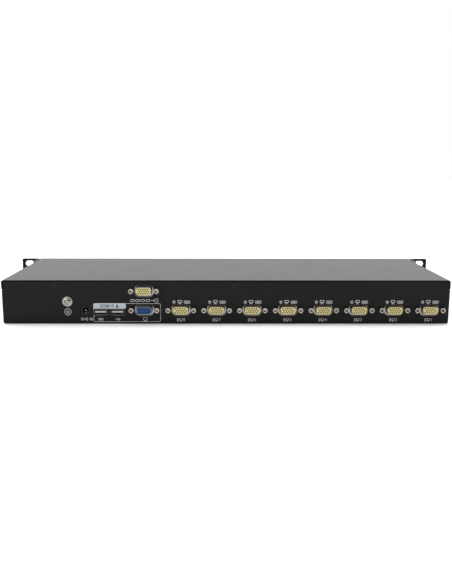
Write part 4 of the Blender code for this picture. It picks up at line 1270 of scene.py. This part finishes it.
def make_buttons(sizes):
    """Eight caps with a soft edge and a dished face, each with its numeral, collar and stem, on a body of its
    own.
    """
    front = FRONT_Y - 1.5 * MM
    soft = 0.5 * MM
    dish = sizes.button_dish * MM
    for number, (low, high) in enumerate(BUTTONS, 1):
        middle = (low + high) / 2
        centre = (middle.x, middle.z)
        rise = np.linspace(0, math.pi / 2, 6)
        profile = [(0, FRONT_Y + 2.4 * MM)]
        profile += [(-soft * (1 - math.cos(a)), front + soft * (1 - math.sin(a))) for a in rise]
        for k in np.linspace(0, 1, 7)[1:]:
            sink = dish * (0.5 - 0.5 * math.cos(math.pi * k))
            profile.append((-soft - 0.1 * MM - 1.3 * MM * k, front + sink))
        solid = Solid("xz")
        solid.sweep(box_loop(*BUTTON_SIZE, 1.2 * MM, centre), profile)
        collar = box_loop(high.x - low.x, high.z - low.z, 0.4 * MM, centre, 3)
        solid.plate((collar, [(0, FRONT_Y + 2.3 * MM), (0, FRONT_Y + 3.5 * MM)]))
        stem = box_loop(3.6 * MM, 3.6 * MM, 0.3 * MM, centre, 3)
        solid.plate((stem, [(0, FRONT_Y + 3.2 * MM), (0, high.y)]))
        mark = Print(front + dish, -1, sizes.ink * MM)
        mark.at(*centre).numeral(number, 0, 0, 3.0)
        solid.take(mark.solid, 1)
        looks = ["button_plastic", "dark_ink"]
        make_piece(f"push_button_{number}", solid, looks, f"button_{number}", [f"port_button_{number}"])


def make_lights():
    """The clear bar behind the front plate with a domed nub in each light hole: depth = 0.6 mm * (1 - cos a)."""
    low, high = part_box("led_light_pipe")
    width, height, centre = face_of(low, high)
    bar_front = FRONT_Y + PANEL_SHEET + FIT
    solid = Solid("xz")
    bar = box_loop(width, height, 0.4 * MM, centre, 3)
    solid.plate((bar, [(0, bar_front), (0, high.y)]))
    rise = np.linspace(0.06, math.pi / 2, 7)
    dome = [(LIGHT_RADIUS * math.sin(a), low.y + 0.6 * MM * (1 - math.cos(a))) for a in rise]
    for x in LIGHT_XS:
        solid.turned(dome + [(LIGHT_RADIUS, bar_front + 0.2 * MM)], (x, LIGHT_Z, 0), steps=28)
    make_piece("light_pipe", solid, ["clear_plastic"], stands_for=["led_light_pipe"])


def make_display(sizes):
    """The red window with its soft edge and lip, and the block behind it with two digits of seven bars."""
    low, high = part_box("display_window")
    width, height, centre = face_of(low, high)
    lip_front = FRONT_Y + PANEL_SHEET + FIT
    solid = Solid("xz")
    solid.plate((box_loop(*DISPLAY_WINDOW, 1.2 * MM, centre), soft_edge(low.y, lip_front, 0.3 * MM)))
    lip = box_loop(width, height, 0.8 * MM, centre, 3)
    solid.plate((lip, [(0, lip_front + 0.01 * MM), (0, high.y)]))
    make_piece("window_lens", solid, ["smoked_plastic"], stands_for=["display_window"])

    low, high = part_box("digit_display")
    block = Solid("xz")
    outline = box_loop(high.x - low.x, high.z - low.z, 0.3 * MM, centre, 3)
    block.plate((outline, [(-0.2 * MM, low.y), (0, low.y + 0.2 * MM), (0, high.y)]))
    bars = Print(low.y, -1, sizes.ink * MM)
    for digit in (-1, 1):
        bars.at(centre[0] + digit * 4.6 * MM, centre[1])
        for z in (-4.2, 0, 4.2):
            upper = [(-2.1, z), (-1.6, z + 0.5), (1.6, z + 0.5)]
            bars.area(upper + [(2.1, z), (1.6, z - 0.5), (-1.6, z - 0.5)])
        for x in (-2.5, 2.5):
            for z in (-2.1, 2.1):
                right = [(x, z + 1.8), (x + 0.5, z + 1.3), (x + 0.5, z - 1.3)]
                bars.area(right + [(x, z - 1.8), (x - 0.5, z - 1.3), (x - 0.5, z + 1.3)])
        bars.disc(3.6, -4.3, 0.45)
    block.take(bars.solid, 1)
    make_piece("digit_block", block, ["display_module", "white_plastic"], stands_for=["digit_display"])


INNER_LOOKS = {
    "main_board": "circuit_board",
    "key_board": "circuit_board",
    "processor_chip": "chip_plastic",
    "video_chip": "chip_plastic",
    "heat_sink": "aluminium",
    "capacitor_1": "aluminium",
    "capacitor_2": "aluminium",
    "ribbon_cable": "ribbon",
}


def finish_inner_parts():
    """The boards and what stands on them keep their shapes and take node materials."""
    for node, look in INNER_LOOKS.items():
        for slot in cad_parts[node].material_slots:
            slot.material = MATERIALS[look]


# ---------------------------------------------------------------- studio


def add_light(name, size, power, place, aim):
    """A square soft light at place, turned to aim."""
    data = bpy.data.lights.new(name, "AREA")
    data.shape = "SQUARE"
    data.size = size
    data.energy = power
    light = bpy.data.objects.new(name, data)
    light.location = place
    light.rotation_euler = (Vector(aim) - Vector(place)).to_track_quat("-Z", "Y").to_euler()
    bpy.context.scene.collection.objects.link(light)


def make_floor(studio):
    """A round pale floor: rings of radius reach * share ** 2, lowered a hair under the object."""
    share = np.linspace(0.02, 1, 24)
    solid = Solid("xy")
    solid.turned([(studio.reach * k * k, -0.0001) for k in share], (0, 0, 0), steps=96)
    mesh = bpy.data.meshes.new("studio_floor")
    mesh.from_pydata(np.concatenate(solid.points).tolist(), [], solid.faces[:-1])
    made = bpy.data.materials.new("pale_floor")
    made.use_nodes = True
    tree = made.node_tree
    shader = tree.nodes["Principled BSDF"]
    place = tree.nodes.new("ShaderNodeTexCoord").outputs["Object"]
    drift = noise_node(tree, place, 3.0)
    sight = tree.nodes.new("ShaderNodeLightPath").outputs["Is Camera Ray"]
    pale = mix_node(tree, drift, studio.floor, scaled(studio.floor, 0.985))
    link(tree, mix_node(tree, sight, scaled(studio.floor, 0.6), pale), shader.inputs["Base Color"])
    shader.inputs["Emission Color"].default_value = (1, 1, 1, 1)
    link(tree, math_node(tree, "MULTIPLY", sight, studio.floor_glow), shader.inputs["Emission Strength"])
    shader.inputs["Roughness"].default_value = 0.6
    shader.inputs["Specular IOR Level"].default_value = 0.2
    mesh.materials.append(made)
    floor = bpy.data.objects.new("studio_floor", mesh)
    bpy.context.scene.collection.objects.link(floor)


def make_world(studio):
    """A soft room: bright overhead and behind the front plate, dimmer on the connectors' side."""
    world = bpy.data.worlds.new("soft_room")
    world.use_nodes = True
    bpy.context.scene.world = world
    tree = world.node_tree
    tree.nodes.clear()
    leave = tree.nodes.new("ShaderNodeOutputWorld")
    shown = tree.nodes.new("ShaderNodeBackground")
    light = tree.nodes.new("ShaderNodeBackground")
    blend = tree.nodes.new("ShaderNodeMixShader")
    sight = tree.nodes.new("ShaderNodeLightPath")
    place = tree.nodes.new("ShaderNodeTexCoord").outputs["Generated"]
    split = tree.nodes.new("ShaderNodeSeparateXYZ")
    link(tree, place, split.inputs[0])
    toward = range_node(tree, split.outputs["Y"], -0.30, 0.45, studio.back_glow, studio.front_glow)
    above = range_node(tree, split.outputs["Z"], 0.15, 0.85, 0.0, 1.0)
    both = math_node(tree, "ADD", toward, math_node(tree, "MULTIPLY", above, studio.top_glow))
    link(tree, both, light.inputs["Strength"])
    light.inputs["Color"].default_value = (1.0, 0.995, 0.985, 1)
    shown.inputs["Color"].default_value = (1, 1, 1, 1)
    shown.inputs["Strength"].default_value = 1.0
    link(tree, sight.outputs["Is Camera Ray"], blend.inputs["Fac"])
    link(tree, light.outputs[0], blend.inputs[1])
    link(tree, shown.outputs[0], blend.inputs[2])
    link(tree, blend.outputs[0], leave.inputs["Surface"])


def make_camera(studio):
    """The camera behind and above the connectors, turned a little towards the middle."""
    data = bpy.data.cameras.new("camera")
    data.sensor_fit = "HORIZONTAL"
    data.sensor_width = 36.0
    data.lens = studio.lens
    data.clip_start = 0.01
    data.clip_end = 50
    camera = bpy.data.objects.new("camera", data)
    turn = Matrix.Rotation(math.radians(CAMERA_TURN), 4, "Z")
    tilt = Matrix.Rotation(math.radians(CAMERA_TILT), 4, "X")
    roll = Matrix.Rotation(math.radians(CAMERA_ROLL), 4, "Z")
    camera.matrix_world = Matrix.Translation(CAMERA_PLACE) @ (turn @ tilt) @ roll
    bpy.context.scene.collection.objects.link(camera)
    bpy.context.scene.camera = camera


# ---------------------------------------------------------------- settings


def colour_prop(name, description, value):
    return FloatVectorProperty(
        name=name, description=description, default=value, size=3, min=0, max=1, subtype="COLOR"
    )


def number_prop(name, description, value, low, high):
    return FloatProperty(name=name, description=description, default=value, min=low, max=high)


class SwitchSizes(bpy.types.PropertyGroup):
    """Fine sizes, in millimetres."""

    edge_softness: number_prop("Edge softness", "Radius of a cut edge", 0.18, 0.02, 0.5)
    fold_softness: number_prop("Fold softness", "Radius round the rear wall", 1.1, 0.1, 1.2)
    lid_softness: number_prop("Lid softness", "Radius of the lid's rear edge", 0.45, 0.05, 0.55)
    arc_steps: IntProperty(
        name="Arc steps", description="Faces over a rounded edge", default=5, min=2, max=12
    )
    ink: number_prop("Ink", "Thickness of the prints", 0.03, 0.01, 0.1)
    shell_wall: number_prop("Shell wall", "Sheet of a D shell", 0.4, 0.32, 0.6)
    shell_root: number_prop("Shell root", "Radius at a D shell's root", 0.9, 0.2, 1.5)
    insert_recess: number_prop("Insert recess", "Insert's face behind the rim", 0.18, 0, 1)
    button_dish: number_prop("Button dish", "Depth of a button's dished face", 0.22, 0, 0.5)


class SwitchColours(bpy.types.PropertyGroup):
    """Colours of the finishes."""

    coat: colour_prop("Powder coat", "Sheet metal's coat", (0.0082, 0.0084, 0.0092))
    nickel: colour_prop("Nickel", "Connector shells, posts and earth screw", (0.62, 0.59, 0.545))
    cream: colour_prop("Cream", "Port inserts", (1.0, 0.86, 0.38))
    blue: colour_prop("Blue", "Console port's insert", (0.012, 0.090, 0.32))
    button: colour_prop("Buttons", "Push buttons", (0.36, 0.37, 0.39))
    ink: colour_prop("Ink", "Light prints", (0.77, 0.79, 0.82))
    tab: colour_prop("Tab", "The console frame's light tab", (0.76, 0.82, 0.92))


class SwitchStudio(bpy.types.PropertyGroup):
    """Floor, light and camera."""

    floor: colour_prop("Floor", "Pale floor", (0.93, 0.93, 0.93))
    reach: FloatProperty(
        name="Floor reach", description="Radius of the floor", default=6.0, min=1, max=20, unit="LENGTH"
    )
    floor_glow: number_prop("Floor glow", "Floor's own light where the camera sees it", 0.15, 0, 1)
    back_glow: number_prop("Far glow", "Room's light beyond the front plate", 1.52, 0, 5)
    front_glow: number_prop("Near glow", "Room's light on the connectors' side", 0.03, 0, 5)
    top_glow: number_prop("Top glow", "Light added overhead", 0.6, 0, 5)
    lens: number_prop("Lens", "Focal length in millimetres", 53.11, 10, 200)


# ---------------------------------------------------------------- operators


class SWITCH_OT_finishes(bpy.types.Operator):
    """Make every material of the switch"""

    bl_idname = "switch.finishes"
    bl_label = "Finishes"

    def execute(self, context):
        make_materials(context.scene.switch_colours)
        finish_inner_parts()
        return {"FINISHED"}


class SWITCH_OT_case(bpy.types.Operator):
    """Make the tray with its rear wall, and the lid"""

    bl_idname = "switch.case"
    bl_label = "Case"

    def execute(self, context):
        make_tray(context.scene.switch_sizes)
        make_cover(context.scene.switch_sizes)
        return {"FINISHED"}


class SWITCH_OT_front(bpy.types.Operator):
    """Make the front plate and the two rack ears"""

    bl_idname = "switch.front"
    bl_label = "Front plate and ears"

    def execute(self, context):
        make_front_panel(context.scene.switch_sizes)
        make_ears(context.scene.switch_sizes)
        return {"FINISHED"}


class SWITCH_OT_connectors(bpy.types.Operator):
    """Make the ten D connectors with their shells, posts and inserts"""

    bl_idname = "switch.connectors"
    bl_label = "D connectors"

    def execute(self, context):
        sizes = context.scene.switch_sizes
        for name in PORT_NAMES:
            make_shell(name, sizes)
            make_posts(name)
            make_insert(name, sizes)
        return {"FINISHED"}


class SWITCH_OT_sockets(bpy.types.Operator):
    """Make the two USB sockets and the power socket"""

    bl_idname = "switch.sockets"
    bl_label = "Sockets"

    def execute(self, context):
        make_usb(1)
        make_usb(2)
        make_power_socket()
        return {"FINISHED"}


class SWITCH_OT_screws(bpy.types.Operator):
    """Make the earth screw, the lid's screws and the ears' screws"""

    bl_idname = "switch.screws"
    bl_label = "Screws"

    def execute(self, context):
        make_earth_screw()
        make_cover_screws()
        make_ear_screws()
        return {"FINISHED"}


class SWITCH_OT_prints(bpy.types.Operator):
    """Make the prints on the rear wall and on the front plate"""

    bl_idname = "switch.prints"
    bl_label = "Prints"

    def execute(self, context):
        print_rear(context.scene.switch_sizes)
        print_front(context.scene.switch_sizes)
        return {"FINISHED"}


class SWITCH_OT_controls(bpy.types.Operator):
    """Make the push buttons, the lights and the display"""

    bl_idname = "switch.controls"
    bl_label = "Controls"

    def execute(self, context):
        make_buttons(context.scene.switch_sizes)
        make_lights()
        make_display(context.scene.switch_sizes)
        return {"FINISHED"}


class SWITCH_OT_studio(bpy.types.Operator):
    """Make the floor, the room's light and the camera"""

    bl_idname = "switch.studio"
    bl_label = "Studio"

    def execute(self, context):
        studio = context.scene.switch_studio
        make_floor(studio)
        make_world(studio)
        add_light("overhead", 1.6, 14.0, (0.1, -0.5, 1.7), (0, 0, 0))
        add_light("side", 0.9, 4.0, (0.9, 1.1, 0.8), (0, 0, 0.02))
        make_camera(studio)
        context.scene.view_settings.view_transform = "Standard"
        return {"FINISHED"}


class SWITCH_PT_panel(bpy.types.Panel):
    """The switch's pieces, sizes and colours"""

    bl_idname = "SWITCH_PT_panel"
    bl_label = "Rack KVM switch"
    bl_space_type = "VIEW_3D"
    bl_region_type = "UI"
    bl_category = "Switch"

    def draw(self, context):
        layout = self.layout
        scene = context.scene
        for group in (scene.switch_sizes, scene.switch_colours, scene.switch_studio):
            column = layout.box().column()
            for name in group.__annotations__:
                column.prop(group, name)
        for operator in OPERATORS:
            layout.operator(operator.bl_idname)


OPERATORS = (
    SWITCH_OT_finishes,
    SWITCH_OT_case,
    SWITCH_OT_front,
    SWITCH_OT_connectors,
    SWITCH_OT_sockets,
    SWITCH_OT_screws,
    SWITCH_OT_prints,
    SWITCH_OT_controls,
    SWITCH_OT_studio,
)
CLASSES = (SwitchSizes, SwitchColours, SwitchStudio) + OPERATORS + (SWITCH_PT_panel,)


def register():
    for item in CLASSES:
        bpy.utils.register_class(item)
    bpy.types.Scene.switch_sizes = PointerProperty(type=SwitchSizes)
    bpy.types.Scene.switch_colours = PointerProperty(type=SwitchColours)
    bpy.types.Scene.switch_studio = PointerProperty(type=SwitchStudio)


def unregister():
    del bpy.types.Scene.switch_studio
    del bpy.types.Scene.switch_colours
    del bpy.types.Scene.switch_sizes
    for item in reversed(CLASSES):
        bpy.utils.unregister_class(item)


def main():
    register()
    bpy.ops.switch.finishes()
    bpy.ops.switch.case()
    bpy.ops.switch.front()
    bpy.ops.switch.connectors()
    bpy.ops.switch.sockets()
    bpy.ops.switch.screws()
    bpy.ops.switch.prints()
    bpy.ops.switch.controls()
    bpy.ops.switch.studio()


if __name__ == "__main__":
    main()
